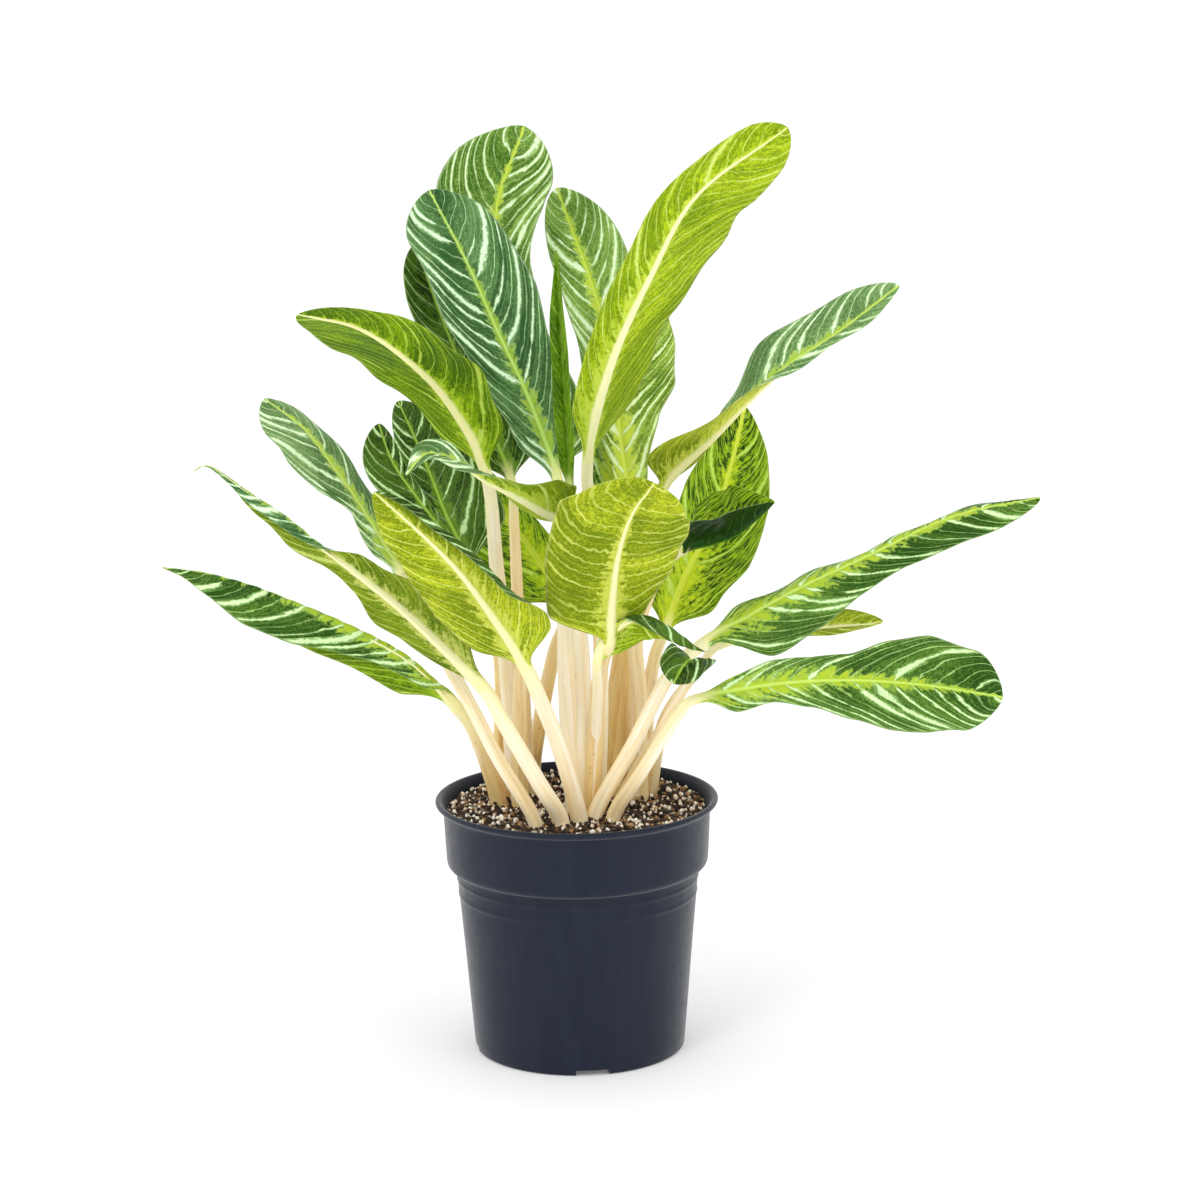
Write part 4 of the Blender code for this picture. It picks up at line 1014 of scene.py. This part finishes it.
def strew(name, count, looks, shape, sizes, lift, clumped=0.0):
    """Scatter many small shapes over the soil as one piece."""
    bm = bmesh.new()
    for _ in range(count):
        made = shape(bm)["verts"]
        size = grain_picker.triangular(sizes[0], sizes[1], sizes[0])
        stretch = Vector([size * MM * grain_picker.uniform(0.6, 1.0) for _ in range(3)])
        bmesh.ops.scale(bm, verts=made, vec=stretch)
        bmesh.ops.rotate(bm, verts=made, cent=(0, 0, 0), matrix=random_turn())
        for vert in made:
            vert.co += Vector(noise.noise_vector(vert.co * 900)) * 0.22 * size * MM
        place = strewn_place(clumped)
        place.z += lift * size * MM
        bmesh.ops.translate(bm, verts=made, vec=place)
    bmesh.ops.recalc_face_normals(bm, faces=bm.faces)
    for face in bm.faces:
        face.smooth = True
    add_piece(name, bm, looks)


def grain_material(name, roughness, dark, light, spread):
    made, g, shader = new_material(name, roughness)
    place = g.object_place()
    blotch = g.noise(place, scale=330.0, detail=1.0)
    pits = g.noise(place, scale=2400.0, detail=3.0, roughness=0.6)
    paint = g.mix(g.step(blotch, 0.5 - spread, 0.5 + spread), dark, light)
    paint = g.mix(g.times(g.step(pits, 0.55, 0.7), 0.4), paint, dark)
    g.link(paint, shader.inputs["Base Color"])
    g.link(g.bump(pits, 0.6, 0.0005), shader.inputs["Normal"])
    return made


def ball(bm):
    return bmesh.ops.create_icosphere(bm, subdivisions=1, radius=0.5)


def block(bm):
    return bmesh.ops.create_cube(bm, size=0.8)


perlite_look = grain_material("perlite", 0.85, (0.90, 0.72, 0.52), (1.0, 0.97, 0.90), 0.12)
tan_look = grain_material("tan_bark", 0.85, (0.19, 0.090, 0.032), (0.52, 0.30, 0.13), 0.15)
dark_look = grain_material("dark_bark", 0.8, (0.007, 0.004, 0.002), (0.068, 0.031, 0.012), 0.15)
strew("dark_crumbs", 1300, [dark_look], block, (1.6, 4.6), 0.15)
strew("tan_chips", 360, [tan_look], block, (1.4, 4.4), 0.25)
strew("perlite_grains", 700, [perlite_look], ball, (1.6, 4.6), 0.42, clumped=1.3)
print("soil strewn")

# %% [markdown]
# Old leaves leave a short dark stub of their sheath beside the stalks. Each stub is a slim cone,
# tilted a little.

# %% Sheath stubs
STUB_FOOT, STUB_TOP, STUB_SUNK, STUB_Z = 1.9, 0.7, 3, 150.5
SHEATH_STUBS = [((10, 18), 9, 2, 17), ((-38, -7), -28, 12, 11), ((50, 14), 16, -8, 9),
                ((-6, 34), -8, -10, 12)]      # place, tilt sideways and back, length
stubs_bm = bmesh.new()
for (x, y), tilt_side, tilt_back, length in SHEATH_STUBS:
    made = bmesh.ops.create_cone(stubs_bm, cap_ends=True, segments=10, radius1=STUB_FOOT * MM,
                                 radius2=STUB_TOP * MM, depth=length * MM)["verts"]
    bmesh.ops.scale(stubs_bm, verts=made, vec=(1.0, 0.5, 1.0))
    bmesh.ops.translate(stubs_bm, verts=made, vec=(0, 0, (0.5 * length - STUB_SUNK) * MM))
    bmesh.ops.rotate(stubs_bm, verts=made, cent=(0, 0, 0), matrix=Matrix.Rotation(radians(tilt_side), 3, "Y")
                     @ Matrix.Rotation(radians(tilt_back), 3, "X"))
    bmesh.ops.translate(stubs_bm, verts=made, vec=(x * MM, y * MM, STUB_Z * MM))
add_piece("sheath_stubs", stubs_bm, [dark_look])
print(len(SHEATH_STUBS), "stubs made")

# %% [markdown]
# ## Floor, light and camera
# A wide pale floor fills the view. A white sky gives soft light from everywhere, and two large
# lamps from the front left and the right shape the leaves. The camera has a long lens and looks
# down a little, so the rim shows as a narrow ring.

# %% Floor, sky and lamps
WHITE = (1.0, 1.0, 1.0, 1.0)
floor_bm = bmesh.new()
bmesh.ops.create_grid(floor_bm, x_segments=2, y_segments=2, size=40)
floor_look = new_material("pale_floor", 0.9, Base_Color=(0.93, 0.93, 0.93, 1.0), Emission_Color=WHITE,
                          Emission_Strength=0.10)[0]
floor = new_object("pale_floor", floor_bm, [floor_look])

sky = bpy.data.worlds.new("white_sky")
sky.use_nodes = True
sky.node_tree.nodes["Background"].inputs["Color"].default_value = WHITE
sky.node_tree.nodes["Background"].inputs["Strength"].default_value = 1.06
bpy.context.scene.world = sky


def lamp(name, place, aim, size, power):
    light = bpy.data.lights.new(name, "AREA")
    light.shape, light.size, light.energy = "DISK", size, power
    made = bpy.data.objects.new(name, light)
    bpy.context.scene.collection.objects.link(made)
    made.location = place
    made.rotation_euler = (Vector(aim) - Vector(place)).to_track_quat("-Z", "Y").to_euler()


lamp("key_lamp", (-1.3, -2.2, 2.4), (0, 0, 0.3), 1.2, 20)
lamp("fill_lamp", (1.8, -1.6, 1.4), (0, 0, 0.3), 1.4, 6)
print("floor, sky and two lamps in place")

# %% Camera
CAMERA_PLACE = (0.0, -2.2, 0.755)
LENS, LOOK_DOWN, LOOK_RIGHT, LEAN = 113.7, 12.3, 0.405, 0.75
camera_data = bpy.data.cameras.new("camera")
camera_data.lens, camera_data.sensor_width, camera_data.clip_end = LENS, 36.0, 200.0
camera = bpy.data.objects.new("camera", camera_data)
bpy.context.scene.collection.objects.link(camera)
camera.matrix_world = (Matrix.Translation(CAMERA_PLACE) @ Matrix.Rotation(radians(-LOOK_RIGHT), 4, "Z")
                       @ Matrix.Rotation(radians(90 - LOOK_DOWN), 4, "X")
                       @ Matrix.Rotation(radians(-LEAN), 4, "Z"))
bpy.context.scene.camera = camera
bpy.context.scene.view_settings.view_transform = "Standard"
print("camera: lens", LENS, "mm")
